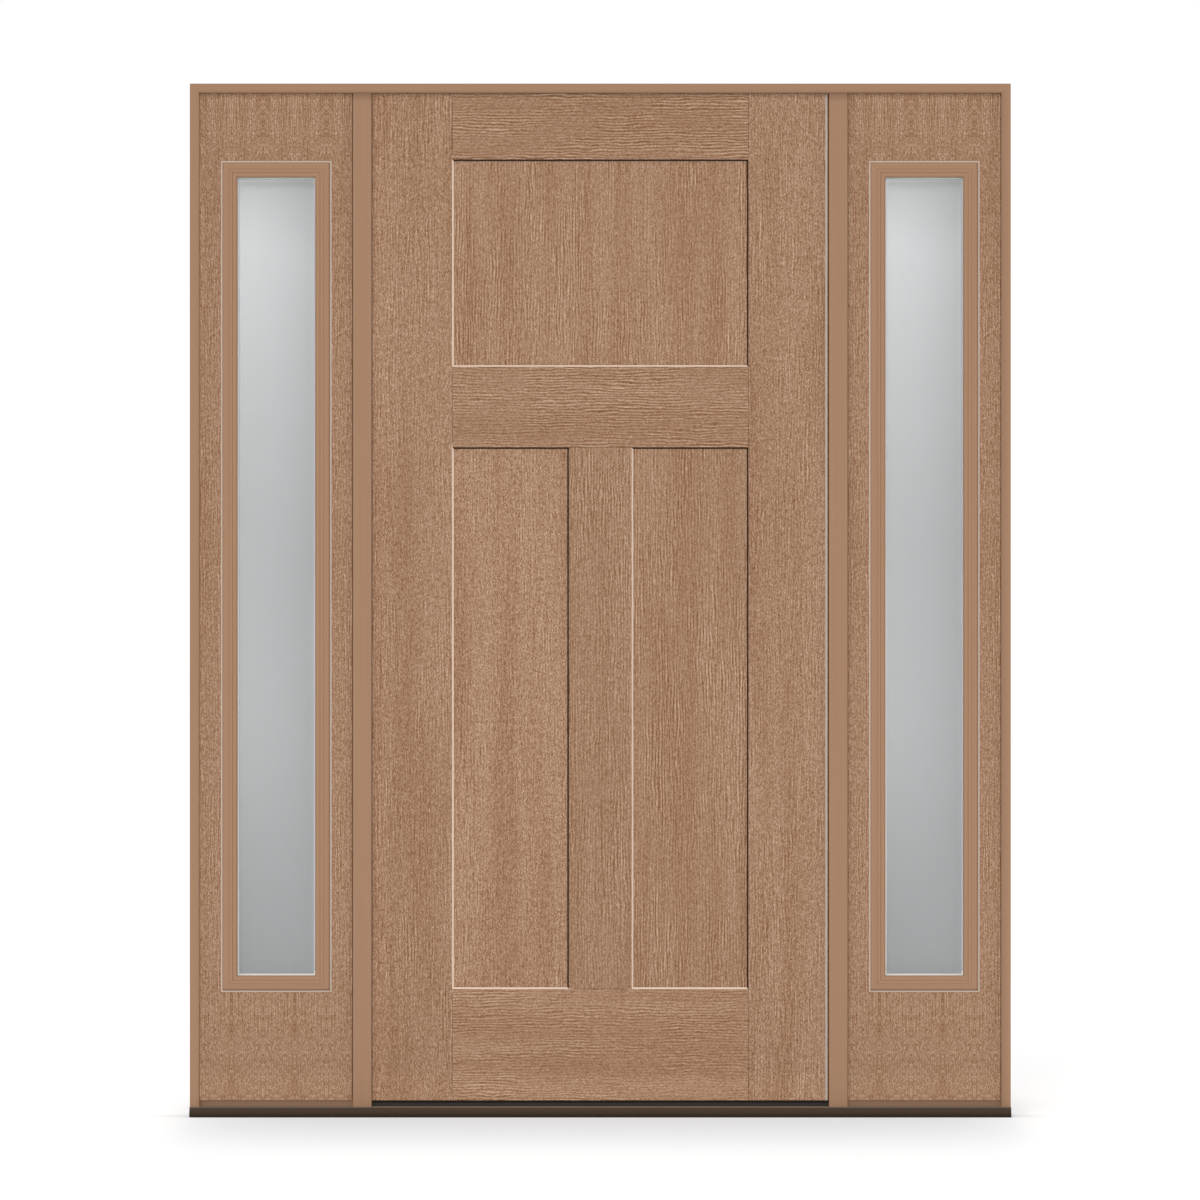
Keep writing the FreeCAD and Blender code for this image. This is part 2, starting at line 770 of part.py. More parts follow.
edge_strip_left = door_half - s.edge_strip_gap - s.edge_strip_width
edge_strip_front = leaf_front - s.edge_strip_thickness
edge_strip_height = leaf_height - s.lap - s.edge_strip_gap
edge_strip_section = rectangle(0, 0, s.edge_strip_width, s.edge_strip_thickness)
bar(
    "latch_edge_strip", "XY_Plane", [edge_strip_section], edge_strip_height,
    edge_strip_left, edge_strip_front, leaf_bottom,
)

doc.recompute()
for item in doc.Objects:
    if "Invalid" in item.State or "Error" in item.State:
        raise RuntimeError(f"{item.Label} did not build: {item.State}")

os.makedirs("parts", exist_ok=True)
for piece in nodes:
    if piece.Shape.isNull() or not piece.Shape.isValid():
        raise RuntimeError(f"{piece.Label} has no valid shape")
    piece.Shape.exportStep(f"parts/{piece.Label}.step")
print(len(nodes), "pieces written")
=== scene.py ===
# %% [markdown]
# # An entrance door with two sidelights
# The door leaf, its frame, the sidelights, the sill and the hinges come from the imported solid
# model, in metres. They already have the right shapes, so this lesson leaves every solid as it
# is. It gives each one a finish that is built from nodes, and adds the small things that a
# solid model leaves out: sealant, hinge screws and screw plugs.

# %% Load the solid model
import math
from collections import namedtuple

import bpy
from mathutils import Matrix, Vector


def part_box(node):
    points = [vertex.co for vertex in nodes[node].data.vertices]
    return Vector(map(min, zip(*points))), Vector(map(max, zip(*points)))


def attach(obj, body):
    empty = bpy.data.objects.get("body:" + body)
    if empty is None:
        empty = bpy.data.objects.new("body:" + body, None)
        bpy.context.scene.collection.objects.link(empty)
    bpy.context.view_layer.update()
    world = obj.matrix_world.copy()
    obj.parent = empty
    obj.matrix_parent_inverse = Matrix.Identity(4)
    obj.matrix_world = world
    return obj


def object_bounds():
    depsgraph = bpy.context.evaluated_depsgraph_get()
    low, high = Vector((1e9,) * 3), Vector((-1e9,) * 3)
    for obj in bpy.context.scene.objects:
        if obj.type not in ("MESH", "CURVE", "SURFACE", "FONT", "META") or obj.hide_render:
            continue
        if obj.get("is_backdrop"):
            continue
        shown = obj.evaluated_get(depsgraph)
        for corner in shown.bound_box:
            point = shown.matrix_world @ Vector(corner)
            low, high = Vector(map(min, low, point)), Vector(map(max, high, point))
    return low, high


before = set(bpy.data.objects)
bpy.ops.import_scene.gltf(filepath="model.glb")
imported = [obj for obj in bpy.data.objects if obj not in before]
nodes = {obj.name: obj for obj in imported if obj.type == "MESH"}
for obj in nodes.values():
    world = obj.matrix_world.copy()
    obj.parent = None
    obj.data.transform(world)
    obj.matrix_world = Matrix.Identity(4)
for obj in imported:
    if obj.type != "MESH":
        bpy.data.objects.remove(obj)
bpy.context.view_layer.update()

# %% [markdown]
# ## Camera
# The picture is taken square on from far away, so that left and right match and no side wall
# of the frame shows. A long lens does this: the field of view is only as wide as the object
# and its white margin. The lens follows from the distance and the width of the picture.

# %% Long lens, square on
PICTURE_WIDTH = 2.4031
PICTURE_CENTER = (-0.0006, 1.0348)
CAMERA_DISTANCE = 20.0
SENSOR_WIDTH = 36.0
FARTHEST_SEEN = 200.0
outer_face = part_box("left_jamb")[0].y

lens_data = bpy.data.cameras.new("long_lens")
lens_data.sensor_width = SENSOR_WIDTH
lens_data.lens = SENSOR_WIDTH * CAMERA_DISTANCE / PICTURE_WIDTH
lens_data.clip_end = FARTHEST_SEEN
camera = bpy.data.objects.new("long_lens", lens_data)
camera.location = (PICTURE_CENTER[0], outer_face - CAMERA_DISTANCE, PICTURE_CENTER[1])
camera.rotation_euler = (math.radians(90), 0, 0)
bpy.context.collection.objects.link(camera)
bpy.context.scene.camera = camera
print("lens", round(lens_data.lens, 1), "mm")

# %% [markdown]
# ## White studio
# A white world alone would light the object like an overcast sky, with soft dark corners in every
# recess. So this world has two strengths. What the camera sees and what gloss reflects is full
# white, but matte surfaces get only a little even light from it. The Standard view keeps the
# colours of the finishes as they are set.

# %% White cloth
WHITE = (1.0, 1.0, 1.0, 1.0)
TENT_SHARE = 0.42

scene = bpy.context.scene
scene.view_settings.view_transform = "Standard"
world = bpy.data.worlds.new("white_tent")
scene.world = world
world.use_nodes = True
tent = world.node_tree
seen_cloth = tent.nodes["Background"]
seen_cloth.inputs["Color"].default_value = WHITE
even_light = tent.nodes.new("ShaderNodeBackground")
even_light.inputs["Color"].default_value = WHITE
even_light.inputs["Strength"].default_value = TENT_SHARE
ray = tent.nodes.new("ShaderNodeLightPath")
either = tent.nodes.new("ShaderNodeMixShader")
tent.links.new(ray.outputs["Is Diffuse Ray"], either.inputs[0])
tent.links.new(seen_cloth.outputs[0], either.inputs[1])
tent.links.new(even_light.outputs[0], either.inputs[2])
tent.links.new(either.outputs[0], tent.nodes["World Output"].inputs["Surface"])
print("world", world.name, "lights matte surfaces with", TENT_SHARE)

# %% [markdown]
# ## Lamps
# A studio uses lamps for flat faces: here one far lamp stands square on to each side and one hangs
# overhead. One softer key lamp at the upper left casts the narrow shadows under the head and beside
# the jambs. The light that the front faces get from all of them and from the floor is added up,
# because the finishes need it.

# %% Far lamps
FLOOR_SHARE = 0.39
FRONT_SHARE = 0.45
SIDE_SHARE = 0.8
TOP_SHARE = 0.33
LAMP_SPREAD = math.radians(5)
LAMP_RISE = 0.05
LAMPS = {
    "front_lamp": ((0.0, -1.0, LAMP_RISE), FRONT_SHARE),
    "back_lamp": ((0.0, 1.0, LAMP_RISE), SIDE_SHARE),
    "left_lamp": ((-1.0, 0.0, LAMP_RISE), SIDE_SHARE),
    "right_lamp": ((1.0, 0.0, LAMP_RISE), SIDE_SHARE),
    "top_lamp": ((0.0, 0.0, 1.0), TOP_SHARE),
}
KEY_SHARE = 0.44
KEY_FROM = Vector((-0.1, -1.0, 0.5)).normalized()
KEY_SPREAD = math.radians(30)


def far_lamp(name, direction, share, spread):
    """A lamp so far away that its rays are parallel. It leaves no bright spot in glass or metal."""
    data = bpy.data.lights.new(name, "SUN")
    data.energy = share * math.pi
    data.angle = spread
    lamp = bpy.data.objects.new(name, data)
    lamp.rotation_euler = Vector(direction).to_track_quat("Z", "Y").to_euler()
    lamp.visible_glossy = False
    lamp.visible_transmission = False
    bpy.context.collection.objects.link(lamp)


for name, (direction, share) in LAMPS.items():
    far_lamp(name, direction, share, LAMP_SPREAD)
far_lamp("key_lamp", KEY_FROM, KEY_SHARE / -KEY_FROM.y, KEY_SPREAD)
FRONT_LIGHT = TENT_SHARE / 2 + FLOOR_SHARE + FRONT_SHARE + KEY_SHARE
print(len(LAMPS) + 1, "lamps, and front faces get", round(FRONT_LIGHT, 2), "times full light")

# %% [markdown]
# ## Helpers for nodes
# Every finish is a small tree of nodes. One helper adds a node, sets its options and feeds its
# inputs: a socket is linked, and a plain value is typed in. The helpers after it add the kinds of
# node that are used most. Most values of a noise lie between 0.3 and 0.7, so that range has a name.

# %% Node helpers
NOISE_RANGE = (0.3, 0.7)


def add_node(tree, kind, inputs=None, **options):
    node = tree.nodes.new(kind)
    for option, value in options.items():
        setattr(node, option, value)
    for name, value in (inputs or {}).items():
        socket = node.inputs[name]
        if isinstance(value, bpy.types.NodeSocket):
            tree.links.new(value, socket)
        else:
            socket.default_value = value
    return node


def split(tree, vector):
    """The parts of a vector, which are then picked by the names X, Y and Z."""
    return add_node(tree, "ShaderNodeSeparateXYZ", {0: vector}).outputs


def joined(tree, **parts):
    return add_node(tree, "ShaderNodeCombineXYZ", parts).outputs[0]


def stretched_noise(tree, place, size, detail):
    """Noise whose lumps have this size in metres along X, Y and Z."""
    scale = tuple(1 / length for length in size)
    at = add_node(tree, "ShaderNodeVectorMath", {0: place, 1: scale}, operation="MULTIPLY")
    inputs = {"Vector": at.outputs[0], "Scale": 1.0, "Detail": detail}
    return add_node(tree, "ShaderNodeTexNoise", inputs).outputs["Fac"]


def math_node(tree, operation, *values):
    inputs = dict(enumerate(values))
    return add_node(tree, "ShaderNodeMath", inputs, operation=operation).outputs[0]


def between(tree, value, low, high, to_low=0.0, to_high=1.0, smooth=True):
    """Turn a range of a value into another range, and hold it there outside."""
    inputs = {"Value": value, 1: low, 2: high, 3: to_low, 4: to_high}
    kind = "SMOOTHSTEP" if smooth else "LINEAR"
    return add_node(tree, "ShaderNodeMapRange", inputs, interpolation_type=kind).outputs[0]


def mix_color(tree, share, first, second, blend="MIX"):
    inputs = {0: share, 6: first, 7: second}
    return add_node(tree, "ShaderNodeMix", inputs, data_type="RGBA", blend_type=blend).outputs[2]


# %% [markdown]
# ## Helpers for finishes
# Colours are written as they look in the picture, from 0 to 255, and turned into the share of
# light that the surface sends back. The first part of that is the usual curve between picture
# values and light. Then what the gloss adds is taken off, and the rest is divided by the light that
# falls on the surface. A new finish starts from the standard shader and the place of each point.

# %% Finish helpers
GLOSS_LEVEL = 0.3
GLOSS_LIFT = 0.027
DARKEST = 0.002


def seen_color(red, green, blue, light=FRONT_LIGHT, lift=GLOSS_LIFT):
    """The surface colour that reads as this picture colour, once its gloss adds some white."""
    linear = []
    for channel in (red, green, blue):
        share = channel / 255
        low, high = share / 12.92, ((share + 0.055) / 1.055) ** 2.4
        seen = low if share <= 0.04045 else high
        linear.append(max(seen - lift, DARKEST) / light)
    return (*linear, 1.0)


def new_finish(name):
    """A new material, its tree, its shader and the place of each point on the object."""
    finish = bpy.data.materials.new(name)
    finish.use_nodes = True
    tree = finish.node_tree
    shader = tree.nodes["Principled BSDF"]
    shader.inputs["Specular IOR Level"].default_value = GLOSS_LEVEL
    place = add_node(tree, "ShaderNodeTexCoord").outputs["Object"]
    return finish, tree, shader, place


def add_bump(tree, shader, height, strength, distance):
    """Let light fall on the surface as if it were raised, by up to this distance in metres."""
    inputs = {"Strength": strength, "Distance": distance, "Height": height}
    tree.links.new(add_node(tree, "ShaderNodeBump", inputs).outputs[0], shader.inputs["Normal"])


def use_finish(finish, *names):
    for name in names:
        nodes[name].material_slots[0].material = finish
    print(finish.name, "on", len(names), "solids")


# %% [markdown]
# ## Floor
# The floor is a wide sheet of matte white paper, a single face at the height of the sill's foot.

# %% Sheet of paper
FLOOR_REACH = 7.0
FLOOR_CORNERS = ((-1, -1), (1, -1), (1, 1), (-1, 1))

floor_mesh = bpy.data.meshes.new("studio_floor")
floor_points = [(x * FLOOR_REACH, y * FLOOR_REACH, 0.0) for x, y in FLOOR_CORNERS]
floor_mesh.from_pydata(floor_points, [], [(0, 1, 2, 3)])
floor = bpy.data.objects.new("studio_floor", floor_mesh)
bpy.context.collection.objects.link(floor)
print("floor", 2 * FLOOR_REACH, "m square")

# %% [markdown]
# ## Shade on the paper
# The lamps alone leave only a faint shadow on the floor, so a shadow is painted on the paper close
# to
# the door: a soft gray that fades out in front of the sill. The distance from the sill is worked out
# with a few nodes. Along the sill it is raised to a high power, so that it hardly counts in the
# middle and soon turns white past the ends. Behind the door painted light makes the paper brighter,
# which hides the shadow of the key lamp there. A property marks the floor as part of the studio.

# %% Paper finish
SILL_FRONT = 0.06
SHADE_HALF = 0.838
SHADE_POWER = 6.0
SHADE_REACH = 1.62
BEHIND = (0.3, 1.0)
MOTTLE = (0.4, 0.4, 0.4)
PAPER_DIM = (0.94, 0.94, 0.94, 1.0)
PAPER_BRIGHT = (0.96, 0.96, 0.96, 1.0)
# The colour of the painted shadow close to the door.
PAPER_SHADED = (0.722, 0.745, 0.771, 1.0)
PAPER_ROUGHNESS = 0.95

floor_finish, tree, shader, place = new_finish("matte_white_floor")
parts = split(tree, place)
across = math_node(tree, "DIVIDE", math_node(tree, "ABSOLUTE", parts["X"]), SHADE_HALF)
across = math_node(tree, "POWER", across, SHADE_POWER)
toward = math_node(tree, "SUBTRACT", math_node(tree, "ABSOLUTE", parts["Y"]), SILL_FRONT)
toward = math_node(tree, "MAXIMUM", toward, 0.0)
away = {0: joined(tree, X=across, Y=toward)}
distance = add_node(tree, "ShaderNodeVectorMath", away, operation="LENGTH").outputs["Value"]
far_off = between(tree, distance, 0.0, SHADE_REACH)
mottle = stretched_noise(tree, place, MOTTLE, 3.0)
white = mix_color(tree, mottle, PAPER_DIM, PAPER_BRIGHT)
# Painted light: the paper behind the door is brighter.
white = mix_color(tree, between(tree, parts["Y"], *BEHIND), white, WHITE)
# Painted shadow: the paper is darker close to the door.
paper = mix_color(tree, far_off, PAPER_SHADED, white)
tree.links.new(paper, shader.inputs["Base Color"])
shader.inputs["Roughness"].default_value = PAPER_ROUGHNESS
shader.inputs["Specular IOR Level"].default_value = 0.0
floor_mesh.materials.append(floor_finish)
floor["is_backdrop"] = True
print(floor_finish.name, "on the floor")

# %% [markdown]
# ## Pressed wood grain
# The leaf and the slabs have a wood grain pressed into them under a brown stain. Each stroke of it
# has a painted lit side and a painted shaded side, as light would fall on the pressed strokes. A
# stretched noise gives the height of the strokes, and the change of that height over a short step
# across them gives the two sides. A finer noise adds pores, a broad one decides where the strokes
# are strong, and evenly spaced wavy lines add the regular part of the grain. Strokes run up the
# stiles and panels and along the rails, so every size is given across the grain, in depth and
# along it.

# %% Strokes, pores and lines
GRAIN_DEPTH = 0.0031
DRIFT = (0.035, 0.12)
SWAY = 0.010
STEP_ACROSS, STEP_ALONG = 0.5, 0.2
PATCH = (0.04, 0.15)
PATCH_RANGE = (0.35, 0.65)
WEAK, STRONG = 0.5, 1.5
PORE = (0.0009, 0.0030)
LINE_PITCH = 0.0060
LINE_BEND = 9.0
LINE_WAVER = (0.012, 0.04)


def laid(upright, across, depth, along):
    return (across, depth, along) if upright else (along, depth, across)


def moved(tree, place, step):
    return add_node(tree, "ShaderNodeVectorMath", {0: place, 1: step}).outputs[0]


def grain_noise(tree, place, upright, size, detail=1.0):
    return stretched_noise(tree, place, laid(upright, size[0], GRAIN_DEPTH, size[1]), detail)


def pressed_grain(tree, place, upright, grain):
    """The height of the strokes, and how light or dark the grain is, with 0 in the middle."""
    axis = "X" if upright else "Z"
    drift = grain_noise(tree, place, upright, DRIFT)
    sway = math_node(tree, "MULTIPLY_ADD", drift, SWAY, -SWAY / 2)
    wavy = moved(tree, place, joined(tree, **{axis: sway}))
    width = grain.stroke[0]
    step = laid(upright, width * STEP_ACROSS, 0.0, width * STEP_ALONG)
    back = tuple(-length for length in step)
    near = grain_noise(tree, moved(tree, wavy, step), upright, grain.stroke)
    far = grain_noise(tree, moved(tree, wavy, back), upright, grain.stroke)
    # Painted light and shade: near minus far lights one side of each stroke and shades the other.
    strokes = math_node(tree, "SUBTRACT", near, far)
    patch = grain_noise(tree, place, upright, PATCH)
    strength = between(tree, patch, *PATCH_RANGE, grain.strokes * WEAK, grain.strokes * STRONG)
    tone = math_node(tree, "MULTIPLY", strokes, strength)
    pores = grain_noise(tree, place, upright, PORE, 0.0)
    pores = math_node(tree, "SUBTRACT", pores, 0.5)
    tone = math_node(tree, "MULTIPLY_ADD", pores, grain.pores, tone)
    bend = grain_noise(tree, place, upright, LINE_WAVER)
    bend = math_node(tree, "MULTIPLY", bend, LINE_BEND)
    phase = math_node(tree, "MULTIPLY_ADD", split(tree, wavy)[axis], math.tau / LINE_PITCH, bend)
    lines = math_node(tree, "MULTIPLY", math_node(tree, "SINE", phase), strength)
    return near, math_node(tree, "MULTIPLY_ADD", lines, grain.lines, tone)


# %% [markdown]
# ## Clouds in the stain, and painted light
# Long soft clouds lie in the stain, redder where they are dark. Painted light makes the foot, the
# top and some sides of the wood a little paler, which makes up for the light that the dark sill
# swallows and the frame holds back. Both become one colour by which the stain is multiplied.

# %% Stain tint and painted light
CLOUD_SIZE = (0.045, 0.6)
CLOUD, THIN_CLOUD = 0.11, 0.07
CLOUD_RED, CLOUD_BLUE = 0.67, 1.31
# Painted light: how much paler the foot and the top under the head are.
FOOT = (0.03, 0.11)
FOOT_LIFT = 1.16
UNDER_HEAD = (2.025, 2.05)
HEAD_LIFT = 1.2


def stain_clouds(tree, place, upright, share):
    cloud = grain_noise(tree, place, upright, CLOUD_SIZE, 2.0)
    shade = between(tree, cloud, *NOISE_RANGE, 1.0 - share, 1.0 + share)
    red = math_node(tree, "POWER", shade, CLOUD_RED)
    blue = math_node(tree, "POWER", shade, CLOUD_BLUE)
    return joined(tree, X=red, Y=shade, Z=blue)


def tone_and_painted_light(tree, place, tone, foot_lift, lifts):
    """Own tone times painted light by place. Each lift is (edge, inner, share), from one X to
    another.
    """
    parts = split(tree, place)
    level = between(tree, parts["Z"], *FOOT, foot_lift * tone, tone)
    under_head = between(tree, parts["Z"], *UNDER_HEAD, 1.0, HEAD_LIFT)
    level = math_node(tree, "MULTIPLY", level, under_head)
    for edge, inner, lift in lifts:
        beside = between(tree, parts["X"], edge, inner, lift, 1.0)
        level = math_node(tree, "MULTIPLY", level, beside)
    return level


# %% [markdown]
# ## Sloped edges round the panels
# Round each panel a highlight is painted on the sloped edges that face right or up, and shade is
# painted on those that face left or down. The slopes are told apart by the direction that the
# surface faces on the piece itself, so the lines stay with the door when it opens. Where a neighbour
# is fitted over a slope, shade is painted in the joint too.

# %% Edge tint
# Painted highlight and painted shade for the slopes.
SLOPE_HIGHLIGHT = (237, 214, 196)
SLOPE_SHADE = (46, 26, 13)
SLOPE_LIGHT = 1.2
SLOPE_FACING = 0.54
SLOPE_MARGIN = 0.1
SIDE_FROM, SIDE_TO = 0.3, 0.5


def surface_facing(tree):
    """The direction that the surface faces on the piece itself, in its three parts."""
    return split(tree, add_node(tree, "ShaderNodeTexCoord").outputs["Normal"])


def within_span(tree, value, low, high):
    return math_node(tree, "COMPARE", value, (low + high) / 2, (high - low) / 2)


def painted_slope_light(tree, place, stain, along, joints):
    """Paint highlight and shade on the slopes. The joints are spans (low, high) along the piece, in
    metres.
    """
    facing = surface_facing(tree)
    sides = math_node(tree, "ADD", facing["X"], facing["Z"])
    depth = math_node(tree, "ABSOLUTE", facing["Y"])
    slope = math_node(tree, "COMPARE", depth, SLOPE_FACING, SLOPE_MARGIN)
    pale = math_node(tree, "MULTIPLY", slope, between(tree, sides, SIDE_FROM, SIDE_TO))
    dark = math_node(tree, "MULTIPLY", slope, between(tree, sides, -SIDE_FROM, -SIDE_TO))
    way = split(tree, place)[along]
    for low, high in joints:
        covered = math_node(tree, "MULTIPLY", slope, within_span(tree, way, low, high))
        dark = math_node(tree, "MAXIMUM", dark, covered)
    highlighted = mix_color(tree, pale, stain, seen_color(*SLOPE_HIGHLIGHT, SLOPE_LIGHT))
    return mix_color(tree, dark, highlighted, seen_color(*SLOPE_SHADE, lift=0.0))


# %% [markdown]
# ## Painted shade in the corners
# Where the leaf and the slabs meet the frame, shade is painted in a thin dark line on the outside.
# Each line is a span along X, in metres, on the piece itself.

# %% Corner lines
# The colour of painted shade, here and on the frame.
PAINTED_SHADE = (78, 58, 43)
OUTWARD = -0.5


def faces_out(tree):
    """1 on the faces that look out of the house, toward the camera of the first picture, else 0."""
    return math_node(tree, "LESS_THAN", surface_facing(tree)["Y"], OUTWARD)


def painted_corner_shade(tree, place, stain, corners):
    across = split(tree, place)["X"]
    for low, high in corners:
        inside = within_span(tree, across, low, high)
        inside = math_node(tree, "MULTIPLY", inside, faces_out(tree))
        stain = mix_color(tree, inside, stain, seen_color(*PAINTED_SHADE))
    return stain


# %% [markdown]
# ## The wood finish as a whole
# Now the parts go together. The grain, with its painted light and shade, chooses between a dark and
# a light stain. It is weaker on the edges of a piece than on its broad faces. The clouds and the
# painted light, the painted shade in the corners and the painted highlight and shade on the slopes
# lie over it, and the height of the strokes gives a slight bump. The grain of the slabs is folded
# again and again, so that it mirrors itself as book-matched veneers do.

# %% Wood finish
GRAIN_LIGHT = (213, 182, 156)
GRAIN_DARK = (125, 86, 59)
GRAIN_CURVE = 1.6
GRAIN_SPAN = 0.5
GRAIN_ROUGHNESS = (0.66, 0.5)
GRAIN_BUMP = (0.4, 0.0005)
EDGE_FACING = (0.1, 0.5)
EDGE_GRAIN = 0.5
BOOK_MATCH = 0.0634


def folded(tree, place, start):
    """Mirror the place again and again across X."""
    parts = split(tree, place)
    shifted = math_node(tree, "SUBTRACT", parts["X"], start)
    across = math_node(tree, "PINGPONG", shifted, BOOK_MATCH)
    return joined(tree, X=across, Y=parts["Y"], Z=parts["Z"])


def wood_finish(
    name, grain, upright=True, joints=(), corners=(), lifts=(), fold_from=None,
    foot_lift=FOOT_LIFT, cloud_share=CLOUD,
):
    finish, tree, shader, own_place = new_finish(name)
    place = own_place
    if fold_from is not None:
        place = folded(tree, place, fold_from)
    place = moved(tree, place, (grain.shift, 0.0, grain.shift))
    height, tone = pressed_grain(tree, place, upright, grain)
    depth = math_node(tree, "ABSOLUTE", surface_facing(tree)["Y"])
    tone = math_node(tree, "MULTIPLY", tone, between(tree, depth, *EDGE_FACING, EDGE_GRAIN, 1.0))
    crest = between(tree, tone, -GRAIN_SPAN, GRAIN_SPAN, smooth=False)
    crest = math_node(tree, "POWER", crest, GRAIN_CURVE)
    stain = mix_color(tree, crest, seen_color(*GRAIN_DARK), seen_color(*GRAIN_LIGHT))
    clouds = stain_clouds(tree, place, upright, cloud_share)
    level = tone_and_painted_light(tree, own_place, grain.tone, foot_lift, lifts)
    scaled = {0: clouds, "Scale": level}
    tint = add_node(tree, "ShaderNodeVectorMath", scaled, operation="SCALE").outputs[0]
    stain = mix_color(tree, 1.0, stain, tint, "MULTIPLY")
    stain = painted_corner_shade(tree, own_place, stain, corners)
    stain = painted_slope_light(tree, own_place, stain, "Z" if upright else "X", joints)
    tree.links.new(stain, shader.inputs["Base Color"])
    roughness = between(tree, crest, 0.0, 1.0, *GRAIN_ROUGHNESS)
    tree.links.new(roughness, shader.inputs["Roughness"])
    add_bump(tree, shader, height, *GRAIN_BUMP)
    return finish


# %% [markdown]
# ## A grain for each piece
# Each kind of wood gets its own part of the grain, so that neighbours do not look copied. A row
# says how wide and long its strokes are, how much the strokes, the pores and the lines count, how
# far the grain is shifted, and how light the stain is. The rails have the boldest strokes.

# %% Table of grains
Grain = namedtuple("Grain", "stroke strokes pores lines shift tone")
FINE = (0.0025, 0.045)
BOLD = (0.0027, 0.026)
FINEST = (0.0018, 0.045)
GRAINS = {
    "stile": Grain(FINE, 0.36, 1.12, 0.14, 0.11, 1.01),
    "center_stile": Grain(FINE, 0.37, 1.0, 0.28, 0.71, 0.98),
    "rail": Grain(BOLD, 0.27, 0.85, 0.56, 0.37, 1.0),
    "bottom_rail": Grain(BOLD, 0.24, 0.86, 0.5, 0.53, 1.06),
    "top_panel": Grain(FINE, 0.44, 1.0, 0.22, 0.23, 1.04),
    "left_panel": Grain(FINE, 0.32, 1.2, 0.08, 1.31, 1.07),
    "right_panel": Grain(FINE, 0.4, 0.97, 0.28, 1.9, 1.015),
    "slab": Grain(FINEST, 0.46, 1.06, 0.08, 0.5, 1.015),
}
print(len(GRAINS), "grains")

# %% [markdown]
# ## Wood of the leaf
# The joints, with their painted shade, are where the rails' ends lie over the stiles' slopes and
# where the end of the centre stile lies over the slope of the bottom rail. A painted shade line runs
# down both sides of the leaf, and painted light makes the stiles paler beside the hinge mullion.

# %% Stiles, rails and panels
COPE = 0.0115
LINE = 0.0016
LEAF_LIFT_REACH, LEAF_LIFT = 0.05, 1.1
RAILS = ("bottom_rail", "middle_rail", "top_rail")
rail_spans = [(low.z + COPE, high.z - COPE) for low, high in map(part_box, RAILS)]
center_low, center_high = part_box("center_stile")
center_span = [(center_low.x + COPE, center_high.x - COPE)]
hinge_side, latch_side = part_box("hinge_mullion")[1].x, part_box("latch_mullion")[0].x
leaf_shade_lines = [(hinge_side, hinge_side + LINE / 2), (latch_side - LINE, latch_side)]
leaf_lifts = [(hinge_side, hinge_side + LEAF_LIFT_REACH, LEAF_LIFT)]
stile_grain = wood_finish(
    "stile_grain", GRAINS["stile"], joints=rail_spans, corners=leaf_shade_lines, lifts=leaf_lifts
)
use_finish(stile_grain, "hinge_stile", "latch_stile")
use_finish(wood_finish("center_stile_grain", GRAINS["center_stile"]), "center_stile")
rail_grain = wood_finish("rail_grain", GRAINS["rail"], upright=False, cloud_share=THIN_CLOUD)
use_finish(rail_grain, "middle_rail", "top_rail")
bottom_grain = wood_finish(
    "bottom_rail_grain", GRAINS["bottom_rail"], upright=False, joints=center_span
)
use_finish(bottom_grain, "bottom_rail")
for panel in ("top_panel", "left_panel", "right_panel"):
    use_finish(wood_finish(f"{panel}_grain", GRAINS[panel]), panel)

# %% [markdown]
# ## Wood of the sidelights
# The two slabs share one grain, but each is folded from its own place. They too have painted shade
# lines at the frame, and painted light makes them paler beside the jambs.

# %% Sidelight slabs
SLAB_FOLDS = {"left": -0.7394, "right": 0.5596}
SLAB_FOOT_LIFT = 1.13
LEFT_LIFT_REACH, LEFT_LIFT = 0.012, 1.28
RIGHT_LIFT_REACH, RIGHT_LIFT = 0.009, 1.14
hinge_back, latch_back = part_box("hinge_mullion")[0].x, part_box("latch_mullion")[1].x
left_side, right_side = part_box("left_jamb")[1].x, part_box("right_jamb")[0].x
slab_shade_lines = {
    "left": [(hinge_back - LINE, hinge_back)],
    "right": [(latch_back, latch_back + LINE / 2), (right_side - LINE / 2, right_side)],
}
slab_lifts = {
    "left": [(left_side, left_side + LEFT_LIFT_REACH, LEFT_LIFT)],
    "right": [(right_side, right_side - RIGHT_LIFT_REACH, RIGHT_LIFT)],
}
for hand, start in SLAB_FOLDS.items():
    slab_grain = wood_finish(
        f"{hand}_slab_grain", GRAINS["slab"], corners=slab_shade_lines[hand], lifts=slab_lifts[hand],
        fold_from=start, foot_lift=SLAB_FOOT_LIFT, cloud_share=THIN_CLOUD,
    )
    use_finish(slab_grain, f"{hand}_sidelight_slab")

# %% [markdown]
# ## Smooth stain
# The frame and the mouldings round the glass are smooth, without grain. A flat colour would look
# like plastic sheet, so faint long streaks from the roller and a little change of gloss are left in
# it. On the outside shade is painted along some edges.

# %% Smooth finish
STREAK_LONG, STREAK_THIN = 0.25, 0.004
STREAK_STEP = 4
SPECK = (0.0012, 0.0012, 0.0012)
SMOOTH_ROUGHNESS = (0.42, 0.54)
SMOOTH_BUMP = (0.12, 0.0002)


